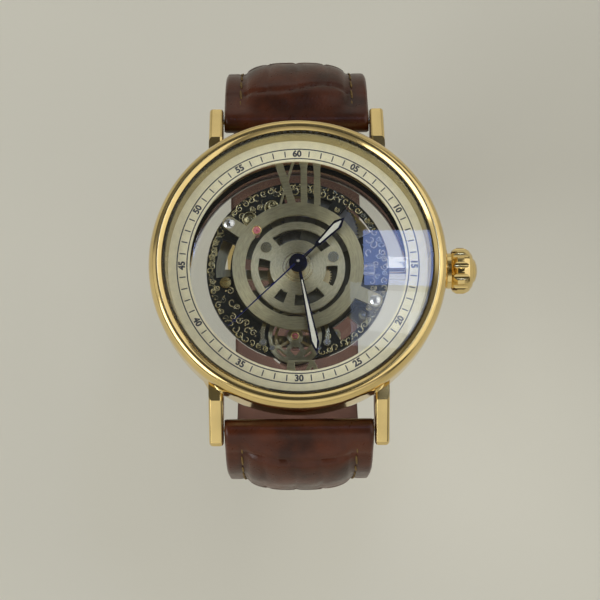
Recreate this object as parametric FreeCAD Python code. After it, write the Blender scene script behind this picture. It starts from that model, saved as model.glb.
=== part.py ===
"""Skeleton wristwatch: a hand-wound movement hung in a see-through round case on a leather strap.

The origin is the centre of the case back's rear face. +Z runs through the dial to the crystal,
+Y points at 12 o'clock and +X along the winding stem to the crown.
"""
import FreeCAD, Part
import os
from math import asin, atan2, cos, degrees, hypot, pi, radians, sin, sqrt

from FreeCAD import Vector

# ---------------------------------------------------------------- driving dimensions, mm
# case
case_r = 21.55            # widest radius of the case middle
case_floor = 0.35         # height of the case middle's rear edge
case_top = 9.3            # height of the face that the bezel sits on
case_wall = 1.85          # from the widest radius in to the recess of the dial ring and rehaut
bezel_step = 0.1          # the bezel's setback from the case
bezel_w = 1.6
bezel_top = 12.25
crystal_t = 1.15
crystal_dome = 0.35
crystal_ledge_w = 0.3     # width of the rehaut's top edge under the crystal
gasket_w = 0.25
lug_gap = 22.0            # strap width between the lugs
lug_w = 2.1
lug_tip_run = 2.15        # from a spring bar to a lug's tip
lug_tip_z = 3.9
bar_run = 2.15            # from the case's widest radius to the spring bars
bar_z = 4.3
bar_r = 0.75
bar_pin_r = 0.45
bar_pin_l = 1.0

# case back
back_step = 2.35          # from the case's widest radius in to the back ring
back_t = 1.5
back_lip = 0.3
rear_ledge_w = 0.55       # width of the lip under the rear crystal
rear_crystal_t = 0.9
back_screw_count = 6
back_screw_inset = 1.2
back_screw_r = 0.5
back_screw_head_r = 0.85
seal_w = 0.5
seal_t = 0.3

# dial and hands
dial_z = 8.3              # underside of the dial ring
dial_t = 0.5
dial_w = 3.7
dial_play = 0.2           # between the dial ring and its recess
dial_ledge_w = 0.6        # overhang of the dial ring inside its ledge
rehaut_lean = 0.35        # how far the rehaut opens towards the crystal
hand_t = 0.18
hour_z = 9.55
minute_z = 10.15
second_z = 10.75
hour_reach = 9.7
minute_reach = 13.95
second_reach = 14.0
hour_angle = 45.0         # clockwise from 12 at rest
minute_angle = 169.0
second_angle = 226.7

# movement
plate_r = 13.4
holder_w = 0.5            # wall of the movement holder's foot
plate_z = 4.6             # underside of the mainplate
plate_t = 1.0
bridge_t = 0.6
inner_bridge_z = 6.8
back_bridge_z = 1.75      # rear face of the barrel and train bridges
wheel_t = 0.2
arbor_r = 0.28
pivot_r = 0.12
run = 0.04                # radial clearance of a pivot, pin or pipe in its bearing
gap = 0.1                 # clearance between neighbouring pieces
stem_z = 4.9
stem_r = 0.45

# going train: teeth, and distances from the centre
barrel_teeth, centre_pinion_teeth = 72, 12
centre_teeth, third_pinion_teeth = 80, 10
third_teeth, fourth_pinion_teeth = 75, 10
fourth_teeth, escape_pinion_teeth = 80, 8
escape_teeth = 15
cannon_teeth, minute_wheel_teeth = 12, 36
minute_pinion_teeth, hour_teeth = 10, 40
barrel_distance, barrel_angle = 6.72, 62.0
third_distance, third_angle = 4.95, -66.0
escape_distance, escape_angle = 4.84, -126.0
minute_wheel_distance, minute_wheel_angle = 2.88, -20.0
balance_x, balance_y = -0.5, -10.0
balance_r = 3.0
balance_window_r = 3.35
cock_r = 4.15
escape_r = 2.1
pallet_lead = 2.5         # from the escape wheel's centre to the pallet fork's pivot

# winding and setting
winding_teeth, crown_wheel_teeth, ratchet_teeth = 16, 30, 48
face_teeth = 24           # teeth of the crown wheel's face, which the winding pinion drives
winding_pinion_r = 1.25
crown_wheel_x = 9.2
crown_wheel_hub_r = 1.95
crown_pull = 0.9
crown_r = 3.4
crown_l = 4.7
crown_gap = 0.3           # between the case and the crown's inner face
tube_r = 1.25
tube_bore_r = 0.8

# strap and buckle
strap_play = 0.6          # between the strap and the lugs
strap_end_w = 18.0
strap_taper_z = -60.0     # height at which the strap has its end width
strap_t = 2.2
strap_eye_r = 1.75
pad_w = 15.4
pad_t = 1.25
buckle_play = 1.0         # between the strap's end and the buckle's sides
buckle_l = 9.0
wire_r = 0.9
keeper_w = 5.0
keeper_t = 0.9
hole_pitch = 6.5
hole_r = 0.9

# ---------------------------------------------------------------- worked-out places
dial_seat_r = case_r - case_wall
bezel_r = case_r - bezel_step
crystal_r = bezel_r - bezel_w - gasket_w
rehaut_top_r = crystal_r - crystal_ledge_w
rehaut_foot_r = rehaut_top_r - rehaut_lean
dial_outer_r = dial_seat_r - dial_play
dial_inner_r = dial_outer_r - dial_w
case_bore_r = dial_inner_r + dial_ledge_w
back_r = case_r - back_step
back_window_r = case_bore_r - holder_w
rear_crystal_r = back_window_r + rear_ledge_w
back_screw_ring_r = back_r - back_screw_inset
seal_outer_r = back_screw_ring_r - 0.7
seal_inner_r = seal_outer_r - seal_w
bar_y = case_r + bar_run
lug_reach = bar_y + lug_tip_run
crown_x = case_r + crown_gap
strap_w = lug_gap - strap_play
buckle_w = strap_end_w + buckle_play + 4 * wire_r
plate_top = plate_z + plate_t
dial_top = dial_z + dial_t
dial_bridge_z = dial_z - bridge_t
crystal_z = bezel_top - crystal_t + 0.1
back_bridge_top = back_bridge_z + bridge_t
deg = radians(1)


def polar(distance, angle):
    return distance * cos(angle * deg), distance * sin(angle * deg)


barrel_at = polar(barrel_distance, barrel_angle)
third_at = polar(third_distance, third_angle)
escape_at = polar(escape_distance, escape_angle)
minute_wheel_at = polar(minute_wheel_distance, minute_wheel_angle)
balance_at = (balance_x, balance_y)
crown_wheel_at = (crown_wheel_x, 0.0)
lever_run = hypot(balance_x - escape_at[0], balance_y - escape_at[1])
lever_dir = ((balance_x - escape_at[0]) / lever_run, (balance_y - escape_at[1]) / lever_run)
pallet_at = (escape_at[0] + pallet_lead * lever_dir[0], escape_at[1] + pallet_lead * lever_dir[1])

# heights of the train, from the mainplate down to the back bridges
centre_z = plate_z - 0.4
barrel_z = back_bridge_top + 0.5
barrel_h = centre_z - 0.12 - barrel_z
barrel_rim_z = barrel_z + barrel_h - 0.5
third_z = back_bridge_top + 0.6
fourth_z = back_bridge_top + 0.15
escape_z = third_z + 0.65
pallet_bridge_z = third_z + wheel_t + 0.08
pallet_bridge_t = 0.28
pallet_jewel_r, pallet_jewel_t = 0.4, 0.2
ratchet_z = back_bridge_z - 0.3
ratchet_t = 0.24


# ---------------------------------------------------------------- helpers
def cyl(r, z0, z1, at=(0, 0)):
    return Part.makeCylinder(r, z1 - z0, Vector(at[0], at[1], z0))


def ring(outer, inner, z0, z1, at=(0, 0)):
    return cyl(outer, z0, z1, at).cut(cyl(inner, z0 - 1, z1 + 1, at))


def rod(r, x0, x1, y=0.0, z=0.0):
    return Part.makeCylinder(r, x1 - x0, Vector(x0, y, z), Vector(1, 0, 0))


def box(x0, x1, y0, y1, z0, z1):
    return Part.makeBox(x1 - x0, y1 - y0, z1 - z0, Vector(x0, y0, z0))


def face(points):
    return Part.Face(Part.makePolygon([Vector(*p) for p in points] + [Vector(*points[0])]))


def slab(points, z0, z1):
    """A flat plate whose outline is a list of (x, y) corners."""
    return face([(x, y, z0) for x, y in points]).extrude(Vector(0, 0, z1 - z0))


def turned(points):
    """A solid of revolution about Z from (r, z) corners."""
    return face([(r, 0, z) for r, z in points]).revolve(Vector(0, 0, 0), Vector(0, 0, 1), 360)


def lathe(points, z):
    """A solid of revolution about the stem's axis from (x, r) corners."""
    profile = face([(x, 0, z + r) for x, r in points])
    return profile.revolve(Vector(0, 0, z), Vector(1, 0, 0), 360)


def spin(shape, angle, at=(0, 0)):
    copy = shape.copy()
    copy.rotate(Vector(at[0], at[1], 0), Vector(0, 0, 1), angle)
    return copy


def moved(shape, x=0.0, y=0.0, z=0.0):
    copy = shape.copy()
    copy.translate(Vector(x, y, z))
    return copy


def fuse(shapes):
    return shapes[0].multiFuse(shapes[1:]).removeSplitter()


def cut(shape, tools):
    for tool in tools:
        shape = shape.cut(tool)
    return shape


def sector(outer, inner, a0, a1, z0, z1, at=(0, 0)):
    """A slice of a ring between two angles in degrees."""
    mid = (a0 + a1) / 2

    def spot(r, a):
        return Vector(at[0] + r * cos(a * deg), at[1] + r * sin(a * deg), z0)

    edges = [
        Part.Arc(spot(outer, a0), spot(outer, mid), spot(outer, a1)).toShape(),
        Part.LineSegment(spot(outer, a1), spot(inner, a1)).toShape(),
        Part.Arc(spot(inner, a1), spot(inner, mid), spot(inner, a0)).toShape(),
        Part.LineSegment(spot(inner, a0), spot(outer, a0)).toShape(),
    ]
    return Part.Face(Part.Wire(edges)).extrude(Vector(0, 0, z1 - z0))


def bar(p, q, width, z0, z1):
    """A straight flat arm from one point to another, round at both ends."""
    length = hypot(q[0] - p[0], q[1] - p[1])
    angle = atan2(q[1] - p[1], q[0] - p[0]) / deg
    body = box(0, length, -width / 2, width / 2, z0, z1)
    body = body.fuse(cyl(width / 2, z0, z1)).fuse(cyl(width / 2, z0, z1, (length, 0)))
    return moved(spin(body.removeSplitter(), angle), p[0], p[1])


def mesh_phase(phase, teeth, direction, partner_teeth):
    """The partner's tooth angle, so that its gap takes the first gear's tooth."""
    return direction + 180 - teeth * (phase - direction) / partner_teeth - 180 / partner_teeth


def gear(teeth, module, z0, z1, at, phase):
    """A spur gear with straight flanks; phase is the angle of one tooth's middle, in degrees."""
    pitch_r = teeth * module / 2
    root, tip = pitch_r - 1.15 * module, pitch_r + 0.8 * module
    step = 360 / teeth
    points = []
    for k in range(teeth):
        middle = phase + k * step
        for r, share in ((root, -0.27), (tip, -0.1), (tip, 0.1), (root, 0.27)):
            a = (middle + share * step) * deg
            points.append((at[0] + r * cos(a), at[1] + r * sin(a)))
    return slab(points, z0, z1)


def wheel(teeth, module, z0, z1, at, phase, spokes, hub):
    """A gear with its web crossed out into spokes."""
    rim = teeth * module / 2 - 2.4 * module - 0.12
    body = gear(teeth, module, z0, z1, at, phase)
    share = 360 / spokes
    for k in range(spokes):
        start = phase + k * share
        lead = degrees(asin(min(0.9, 0.22 / hub)))
        body = body.cut(sector(rim, hub, start + lead, start + share - lead, z0 - 1, z1 + 1, at))
    return body


def spiral(inner, outer, turns, width, z0, z1, at, phase=0.0):
    """A flat strip wound in a spiral."""
    steps = int(turns * 20)
    sides = ([], [])
    for k in range(steps + 1):
        share = k / steps
        a = phase * deg + 2 * pi * turns * share
        r = inner + (outer - inner) * share
        sides[0].append((at[0] + (r + width / 2) * cos(a), at[1] + (r + width / 2) * sin(a)))
        sides[1].append((at[0] + (r - width / 2) * cos(a), at[1] + (r - width / 2) * sin(a)))
    return slab(sides[0] + sides[1][::-1], z0, z1)


def screw(r, head_r, z0, z1, head_t, at, up=True, slot=35.0):
    """A slotted cheese-head screw; its head is above z1, or below z0 when it faces the back."""
    base = z1 if up else z0 - head_t
    body = cyl(r, z0, z1, at).fuse(cyl(head_r, base, base + head_t, at))
    cut_z = base + head_t - 0.1 if up else base
    groove = box(-head_r * 1.2, head_r * 1.2, -0.09, 0.09, cut_z, cut_z + 0.1)
    return body.cut(moved(spin(groove, slot), at[0], at[1]))


# ---------------------------------------------------------------- case
def lug(side, end):
    root = case_r - 4.55
    profile = [
        (root, 1.7), (case_r - 0.55, 1.9), (lug_reach - 1.45, 2.5), (lug_reach - 0.35, lug_tip_z - 0.8),
        (lug_reach, lug_tip_z), (lug_reach - 0.3, lug_tip_z + 0.75),
        (case_r - 1.55, case_top - 0.95), (root, case_top - 0.9),
    ]
    x0 = lug_gap / 2 if side > 0 else -lug_gap / 2 - lug_w
    return face([(x0, end * y, z) for y, z in profile]).extrude(Vector(lug_w, 0, 0))


def case_middle():
    body = turned([
        (back_r + 0.05, case_floor), (case_r - 1.45, case_floor), (case_r - 0.65, 1.6), (case_r - 0.2, 3.6),
        (case_r, 5.4), (case_r, case_top - 0.7), (case_r - 0.35, case_top), (dial_seat_r + 0.1, case_top),
        (dial_seat_r + 0.1, dial_z), (case_bore_r, dial_z), (case_bore_r, back_t), (back_r + 0.05, back_t),
    ])
    body = fuse([body] + [lug(s, e) for s in (1, -1) for e in (1, -1)])
    holes = [rod(tube_r, case_bore_r - 1.4, case_r + 1.45, 0, stem_z)]
    for end in (1, -1):
        pin_x = lug_gap / 2 + bar_pin_l
        holes.append(rod(bar_pin_r + run, -pin_x - 0.05, pin_x + 0.05, end * bar_y, bar_z))
    for k in range(back_screw_count):
        holes.append(cyl(back_screw_r, back_t - 0.1, back_t + 2.0, polar(back_screw_ring_r, 30 + 60 * k)))
    holes.append(ring(seal_outer_r, seal_inner_r, back_t - 0.5, back_t + seal_t))
    return cut(body, holes)


def bezel():
    inner_r = bezel_r - bezel_w
    return turned([
        (inner_r, case_top), (case_r - 0.35, case_top), (bezel_r, case_top + 0.4),
        (bezel_r, bezel_top - 1.4), (bezel_r - 0.12, bezel_top - 0.8), (bezel_r - 0.45, bezel_top - 0.25),
        (bezel_r - 0.9, bezel_top), (bezel_r - 1.2, bezel_top - 0.06), (inner_r, bezel_top - 0.6),
    ])


def crystal():
    top = crystal_z + crystal_t
    rise = crystal_dome
    dome_r = (crystal_r ** 2 + rise ** 2) / (2 * rise)
    body = cyl(crystal_r, crystal_z, top + rise)
    ball = Part.makeSphere(dome_r, Vector(0, 0, top + rise - dome_r - 0.2))
    return body.common(ball)


def rehaut():
    return turned([
        (rehaut_foot_r, dial_top), (dial_seat_r, dial_top), (dial_seat_r, crystal_z),
        (rehaut_top_r + 0.1, crystal_z), (rehaut_top_r, crystal_z - 0.1), (rehaut_foot_r, dial_top + 0.15),
    ])


def dial_ring():
    return ring(dial_outer_r, dial_inner_r, dial_z, dial_top)


def movement_holder():
    body = turned([
        (case_bore_r - 0.05, back_lip + rear_crystal_t), (case_bore_r - 0.05, plate_z + 0.5),
        (plate_r + 0.1, plate_z + 0.5), (plate_r + 0.1, plate_z), (plate_r - 0.5, plate_z),
        (plate_r - 0.5, plate_z - 1.2), (back_window_r, plate_z - 1.2),
        (back_window_r, back_lip + rear_crystal_t),
    ])
    x0, x1 = plate_r - 1.4, case_bore_r + 0.6
    stem_way = rod(tube_r + gap, x0, x1, 0, stem_z)
    stem_way = stem_way.fuse(box(x0, x1, -tube_r - gap, tube_r + gap, stem_z, plate_top + 1.4))
    return cut(body, [stem_way, cyl(cock_r + gap, plate_z - 2, 8, balance_at)])


def caseback_ring():
    body = turned([
        (back_window_r, 0), (back_r - 0.5, 0), (back_r, 0.4), (back_r, back_t),
        (rear_crystal_r + gasket_w, back_t), (rear_crystal_r + gasket_w, back_lip), (back_window_r, back_lip),
    ])
    holes = []
    for k in range(back_screw_count):
        at = polar(back_screw_ring_r, 30 + 60 * k)
        holes += [cyl(back_screw_r + run, -1, 3, at), cyl(back_screw_head_r + run, -1, 0.65, at)]
    return cut(body, holes)


def case_gaskets():
    """Seals of the front crystal, the rear crystal and the case back."""
    front = ring(crystal_r + gasket_w, crystal_r, crystal_z, crystal_z + 0.7)
    rear = ring(rear_crystal_r + gasket_w, rear_crystal_r, back_lip, back_lip + rear_crystal_t)
    back = ring(seal_outer_r, seal_inner_r, back_t, back_t + seal_t)
    return Part.makeCompound([front, rear, back])


def caseback_screws():
    screws = []
    for k in range(back_screw_count):
        at = polar(back_screw_ring_r, 30 + 60 * k)
        top = back_t + 1.6
        screws.append(screw(back_screw_r, back_screw_head_r, 0.65, top, 0.55, at, False, 30 + 60 * k))
    return Part.makeCompound(screws)


# ---------------------------------------------------------------- crown and stem
def crown():
    x0, x1 = crown_x, crown_x + crown_l
    body = lathe([
        (x0, 0), (x0, crown_r - 0.9), (x0 + 0.15, crown_r - 0.75), (x0 + 0.75, crown_r - 0.75),
        (x0 + 0.95, crown_r - 0.35), (x0 + 1.6, crown_r), (x0 + 2.6, crown_r), (x0 + 3.4, crown_r - 0.35),
        (x0 + 3.9, crown_r - 1.0), (x0 + 4.0, 1.9), (x0 + 4.35, 1.5), (x1 - 0.1, 0.8), (x1, 0),
    ], stem_z)
    flute = rod(0.62, x0 + 0.95, x1, crown_r + 0.32, stem_z)
    for k in range(12):
        groove = flute.copy()
        groove.rotate(Vector(0, 0, stem_z), Vector(1, 0, 0), 30 * k)
        body = body.cut(groove)
    tube_way = rod(tube_r + 0.55, x0 - 1, x0 + 2.4, 0, stem_z)
    return body.cut(tube_way).cut(rod(stem_r, x0 + 2, x0 + 3.4, 0, stem_z))


def crown_gasket():
    x0 = crown_x + 0.9
    return rod(tube_r + 0.5, x0, x0 + 0.6, 0, stem_z).cut(rod(tube_r + run, x0 - 1, x0 + 2, 0, stem_z))


def stem():
    lever_x = 11.9
    body = lathe([
        (6.9, 0), (6.9, 0.22), (8.0, 0.22), (8.0, 0.36), (lever_x - 0.3, 0.36), (lever_x - 0.3, 0.22),
        (lever_x + 0.3, 0.22), (lever_x + 0.3, stem_r), (crown_x + 3.4, stem_r), (crown_x + 3.4, 0),
    ], stem_z)
    return body


def crown_tube():
    x0, x1 = case_bore_r - 0.2, crown_x + 1.9
    return rod(tube_r, x0, x1, 0, stem_z).cut(rod(tube_bore_r, x0 - 1, x1 + 1, 0, stem_z))


def toothed_rod(teeth, outer, root, x0, x1, bore):
    """A pinion on the stem, its teeth along X."""
    step = 360 / teeth
    points = []
    for k in range(teeth):
        for r, share in ((root, -0.28), (outer, -0.14), (outer, 0.14), (root, 0.28)):
            a = (k + share) * step * deg
            points.append((x0, r * cos(a), stem_z + r * sin(a)))
    body = face(points).extrude(Vector(x1 - x0, 0, 0))
    return body.cut(rod(bore, x0 - 1, x1 + 1, 0, stem_z))


def winding_pinion():
    return toothed_rod(winding_teeth, winding_pinion_r, winding_pinion_r - 0.3, 10.35, 11.15, 0.4)


def sliding_pinion():
    body = toothed_rod(winding_teeth, 1.05, 0.85, 8.5, 10.2, 0.4)
    groove = rod(2, 9.0, 9.8, 0, stem_z).cut(rod(0.7, 8, 11, 0, stem_z))
    return body.cut(groove)


# ---------------------------------------------------------------- movement plates and bridges
jewel_r = 0.45
jewel_t = 0.3
inner_screws = [polar(5.5, 147), polar(5.4, 16)]
arm_screws = [polar(12.0, 147), polar(12.4, -25)]
cup_holes = [(-7.1, 7.9), (-3.8, 9.6)]
setting_jewel_at = (-6.0, 5.4)
lever_pivot = (12.35, -1.6)
lever_pin = (11.9, 0.0)
yoke_pivot = (8.9, -2.7)
yoke_tip = (9.58, -0.3)
click_pivot = (9.3, 7.3)
click_bore_r = 0.22
barrel_feet = [polar(11.8, 122), polar(11.6, -34)]
train_feet = [polar(11.6, 140), polar(11.6, 216)]
balance_feet = [(-6.0, -9.6), (5.4, -9.4)]
pallet_foot = (-5.2, -6.9)
guard_r = 4.75
guard_angles = [(-12, 58), (122, 192)]
foot_r = 0.75
foot_screw_r = 0.3
plate_jewels = [third_at, escape_at, pallet_at]
back_jewels = [(0, 0), third_at, escape_at]


def window(outer, inner, a0, a1):
    return sector(outer, inner, a0, a1, plate_z - 1, plate_top + 1)


def mainplate():
    body = cyl(plate_r, plate_z, plate_top).fuse(cyl(cock_r, plate_z, plate_top, balance_at))
    tools = [
        cyl(balance_window_r, plate_z - 1, plate_top + 1, balance_at),
        window(plate_r - 1.4, 9.9, 156, 185), window(plate_r - 1.8, 9.9, 64, 100),
        window(plate_r - 1.0, 9.9, 28, 54), window(plate_r - 1.1, 9.9, -60, -32),
        window(9.2, 6.2, 165, 205), window(9.2, 6.2, 70, 120), window(9.2, 4.9, 22, 52),
        window(5.9, 3.4, 85, 128), window(5.9, 2.9, 172, 206), window(4.0, 2.0, -50, -20),
        cyl(0.5 + run, plate_z - 1, plate_top + 1),
        rod(winding_pinion_r + gap, 7.9, 11.35, 0, stem_z), rod(stem_r + gap, 11, 15, 0, stem_z),
        rod(0.22 + run, 6.8, 8.6, 0, stem_z),
        cyl(jewel_r, plate_z - 1, plate_top + 1, setting_jewel_at),
    ]
    tools += [cyl(jewel_r, plate_z - 0.01, plate_z + jewel_t, at) for at in plate_jewels]
    tools.append(cyl(pivot_r + run, plate_z - 1, plate_z + 0.8, barrel_at))
    tools.append(cyl(0.6 + run, plate_z - 1, plate_z + 0.3, barrel_at))
    tools += [cyl(1.0, plate_top - 0.6, plate_top + 1, at) for at in cup_holes]
    tools += [cyl(foot_screw_r, plate_top - 0.7, plate_top + 1, at) for at in inner_screws + arm_screws]
    tools += [cyl(0.2, plate_top - 0.5, plate_top + 1, at) for at in guard_pads() + cock_screws()]
    tools += [cyl(foot_screw_r, plate_z - 1, plate_z + 0.5, at)
              for at in barrel_feet + train_feet + balance_feet + [pallet_foot]]
    body = cut(body, tools)
    posts = [cyl(0.2, plate_top - 0.3, plate_top + 1.05, minute_wheel_at)]
    posts += [cyl(0.3, plate_z - 0.75, plate_z, at) for at in (lever_pivot, yoke_pivot)]
    return fuse([body] + posts)


def stroke(x0, x1, x2, x3, low, high):
    """A bar of a numeral: x0..x1 at its lower end, x2..x3 at its upper end."""
    return slab([(x0, low), (x1, low), (x3, high), (x2, high)], dial_bridge_z, dial_z)


def numeral_end(x, inset=0.0):
    return sqrt((case_bore_r - gap - inset) ** 2 - x ** 2)


def dial_bridge():
    top, foot = numeral_end(3.7), 9.1
    parts = [ring(9.6, 7.7, dial_bridge_z, dial_z)]
    parts += [stroke(x, x + 0.95, x, x + 0.95, foot, top) for x in (0.5, 2.45)]
    parts += [stroke(-1.25, -0.1, -3.35, -2.2, foot, top), stroke(-2.75, -2.4, -0.75, -0.4, foot, top)]
    serif = top - 0.9
    parts += [slab([(x, serif), (x + w, serif), (x + w + 0.2, top), (x - 0.2, top)], dial_bridge_z, dial_z)
              for x, w in ((0.5, 0.95), (2.45, 0.95))]
    for at in arm_screws:
        angle = atan2(at[1], at[0])
        inner = (8.6 * cos(angle), 8.6 * sin(angle))
        parts.append(bar(inner, at, 2.0, dial_bridge_z, dial_z))
        parts.append(cyl(foot_r + 0.1, plate_top, dial_bridge_z, at))
    body = fuse(parts)
    holes = [cyl(foot_screw_r + run, plate_top - 1, 9, at) for at in arm_screws]
    holes.append(cyl(jewel_r + 0.15, dial_bridge_z - 1, dial_z + 1, setting_jewel_at))
    return cut(body, holes)


def numeral_six():
    low, high = 14.1, numeral_end(2.9)
    shapes = [slab([(-1.9, -high), (-0.4, -high), (-0.7, -low), (-1.6, -low)], dial_bridge_z, dial_z)]
    vee = [(0.7, -high), (1.2, -high), (1.95, -low - 0.9), (2.5, -high), (3.0, -high)]
    shapes.append(slab(vee + [(2.2, -low), (1.7, -low)], dial_bridge_z, dial_z))
    foot = [(-1.6, -low - 0.25), (-1.6, -low), (2.2, -low), (2.2, -low - 0.25)]
    shapes.append(slab(foot, dial_bridge_z, dial_z))
    return fuse(shapes)


def inner_bridge():
    z0, z1 = inner_bridge_z, inner_bridge_z + bridge_t
    parts = [ring(6.9, 5.8, z0, z1), cyl(4.1, z0, z1)]
    spokes = ((130, 166), (2, 34), (-48, -30), (-112, -96), (214, 232))
    parts += [sector(6.0, 4.0, a0, a1, z0, z1) for a0, a1 in spokes]
    parts += [cyl(foot_r, plate_top, z0, at) for at in inner_screws]
    body = fuse(parts)
    holes = [cyl(1.02, z0 - 1, z1 + 1), ring(2.3, 2.2, z1 - 0.08, z1 + 1), cyl(1.75, z1 - 0.12, z1 + 1)]
    holes += [cyl(foot_screw_r + run, plate_top - 1, 9, at) for at in inner_screws]
    return cut(body, holes)


def barrel_bridge():
    z0, z1 = back_bridge_z, back_bridge_top
    body = sector(12.6, 2.6, -40, 128, z0, z1)
    feet = [cyl(foot_r, z1 - 0.1, plate_z, at) for at in barrel_feet]
    click_post = cyl(click_bore_r - run, ratchet_z - 0.02, z0, click_pivot)
    post_head = cyl(0.4, ratchet_z - 0.14, ratchet_z - 0.02, click_pivot)
    body = fuse([body, click_post, post_head] + feet)
    holes = [cyl(1.2 + run, z0 - 1, z1 + 1, barrel_at)]
    holes.append(cyl(crown_wheel_hub_r + run, z0 - 1, z1 + 1, crown_wheel_at))
    holes += [cyl(foot_screw_r + run, z0 - 1, plate_z + 1, at) for at in barrel_feet]
    holes += [sector(12.0, 9.6, 80, 112, z0 - 1, z1 + 1), cyl(1.2, z0 - 1, z1 + 1, polar(5.2, -18))]
    return cut(body, holes)


def train_bridge():
    z0, z1 = back_bridge_z, back_bridge_top
    parts = [sector(12.5, 10.8, 134, 222, z0, z1), cyl(1.5, z0, z1)]
    parts += [bar((0, 0), third_at, 1.6, z0, z1), bar(third_at, escape_at, 1.4, z0, z1)]
    parts += [bar((0, 0), escape_at, 1.6, z0, z1), bar(escape_at, train_feet[1], 1.8, z0, z1)]
    parts += [bar((0, 0), polar(11.6, 178), 1.4, z0, z1)]
    parts += [cyl(foot_r, z1 - 0.1, plate_z, at) for at in train_feet]
    body = fuse(parts)
    holes = [cyl(jewel_r, z1 - jewel_t, z1 + 0.01, at) for at in back_jewels]
    holes += [cyl(foot_screw_r + run, z0 - 1, plate_z + 1, at) for at in train_feet]
    return cut(body, holes)


def balance_bridge():
    z0, z1 = back_bridge_z, back_bridge_top
    parts = [bar(balance_feet[0], balance_at, 1.6, z0, z1), bar(balance_at, balance_feet[1], 1.6, z0, z1)]
    parts += [cyl(foot_r, z1 - 0.1, plate_z, at) for at in balance_feet]
    parts.append(cyl(0.18, z1 - 0.1, plate_z - 0.1, (balance_x - 2.15, balance_y)))
    body = fuse(parts)
    holes = [cyl(jewel_r, z1 - jewel_t, z1 + 0.01, balance_at)]
    holes += [cyl(foot_screw_r + run, z0 - 1, plate_z + 1, at) for at in balance_feet]
    return cut(body, holes)


def pallet_bridge():
    """A thin bridge between the third wheel and the pallet fork, on one foot."""
    z0, z1 = pallet_bridge_z, pallet_bridge_z + pallet_bridge_t
    body = fuse([bar(pallet_foot, pallet_at, 1.2, z0, z1), cyl(0.6, z0, plate_z, pallet_foot)])
    holes = [cyl(pallet_jewel_r, z1 - pallet_jewel_t, z1 + 0.01, pallet_at)]
    holes.append(cyl(pivot_r + run, z0 - 1, z1 + 1, pallet_at))
    holes.append(cyl(foot_screw_r + run, z0 - 1, plate_z + 1, pallet_foot))
    return cut(body, holes)


def cock_screws():
    return [(balance_x - 3.35, balance_y - 1.75), (balance_x + 3.3, balance_y - 1.8)]


def guard_pads():
    pads = []
    for pair in guard_angles:
        for a in pair:
            x, y = polar(guard_r, a)
            pads.append((balance_x + x, balance_y + y))
    return pads


def balance_cock():
    z0, z1 = plate_top, plate_top + bridge_t - 0.1
    x, y = balance_at
    parts = [ring(cock_r - 0.25, 3.35, z0, z1, balance_at), cyl(1.15, z0, z1, balance_at)]
    parts += [sector(3.5, 0.9, a - 5, a + 5, z0, z1, balance_at) for a in (58, 122)]
    parts.append(sector(cock_r, 0.8, 236, 304, z0, z1, balance_at))
    parts.append(sector(cock_r, 2.6, 205, 335, z0, z1, balance_at))
    body = fuse(parts)
    holes = [cyl(jewel_r, z0 - 1, z1 + 1, balance_at)]
    holes += [cyl(0.42, z0 - 1, z1 + 1, (x + dx, y - 2.05)) for dx in (-0.27, 0.27)]
    holes.append(slab([(x - 0.68, y - 2.15), (x + 0.68, y - 2.15), (x, y - 3.0)], z0 - 1, z1 + 1))
    holes.append(bar((x - 2.45, y - 2.2), (x - 1.6, y - 2.95), 0.6, z0 - 1, z1 + 1))
    holes.append(bar((x + 1.5, y - 3.0), (x + 2.2, y - 2.45), 0.5, z0 - 1, z1 + 1))
    holes += [cyl(0.2 + run, z0 - 1, z1 + 1, at) for at in cock_screws()]
    return cut(body, holes)


def balance_guards():
    z0, z1 = plate_top, plate_top + 0.75
    guards = []
    for (a0, a1), pads in zip(guard_angles, (guard_pads()[:2], guard_pads()[2:])):
        arc = sector(guard_r + 0.3, guard_r - 0.3, a0, a1, z0, z1, balance_at)
        body = fuse([arc] + [cyl(0.55, z0, z1, at) for at in pads])
        guards.append(cut(body, [cyl(0.2 + run, z0 - 1, z1 + 1, at) for at in pads]))
    return Part.makeCompound(guards)


def jewel(at, z0, z1, hole=pivot_r + run):
    return ring(jewel_r, hole, z0, z1, at)


def jewels():
    stones = [jewel(at, plate_z, plate_z + jewel_t) for at in plate_jewels]
    stones += [jewel(at, back_bridge_top - jewel_t, back_bridge_top) for at in back_jewels + [balance_at]]
    bridge_top = pallet_bridge_z + pallet_bridge_t
    stones.append(ring(pallet_jewel_r, pivot_r + run, bridge_top - pallet_jewel_t, bridge_top, pallet_at))
    cock_z = plate_top + 0.1
    stones.append(jewel(balance_at, cock_z, cock_z + jewel_t))
    stones.append(ring(jewel_r + 0.15, 0.1, dial_bridge_z + 0.2, dial_z, setting_jewel_at))
    return Part.makeCompound(stones)


def dial_side_screws():
    screws = [screw(foot_screw_r, 0.8, plate_top - 0.65, inner_bridge_z + bridge_t, 0.16, at, True, a)
              for at, a in zip(inner_screws, (-40, 25))]
    for at in arm_screws:
        body = cyl(foot_screw_r, plate_top - 0.65, dial_z, at)
        ball = Part.makeSphere(1.25, Vector(at[0], at[1], dial_z - 0.8))
        dome = ball.common(cyl(0.85, dial_z, dial_z + 1, at))
        screws.append(body.fuse(dome))
    low, high = plate_top - 0.45, plate_top + bridge_t - 0.1
    screws += [screw(0.2, 0.36, low, high, 0.15, at, True, 60) for at in cock_screws()]
    screws += [screw(0.2, 0.38, low, plate_top + 0.75, 0.15, at, True, 20) for at in guard_pads()]
    return Part.makeCompound(screws)


def back_screws():
    feet = barrel_feet + train_feet + balance_feet
    screws = [screw(foot_screw_r, 0.62, back_bridge_z, plate_z + 0.45, 0.22, at, False) for at in feet]
    screws.append(screw(foot_screw_r, 0.5, pallet_bridge_z, plate_z + 0.45, 0.2, pallet_foot, False))
    return Part.makeCompound(screws)


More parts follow.
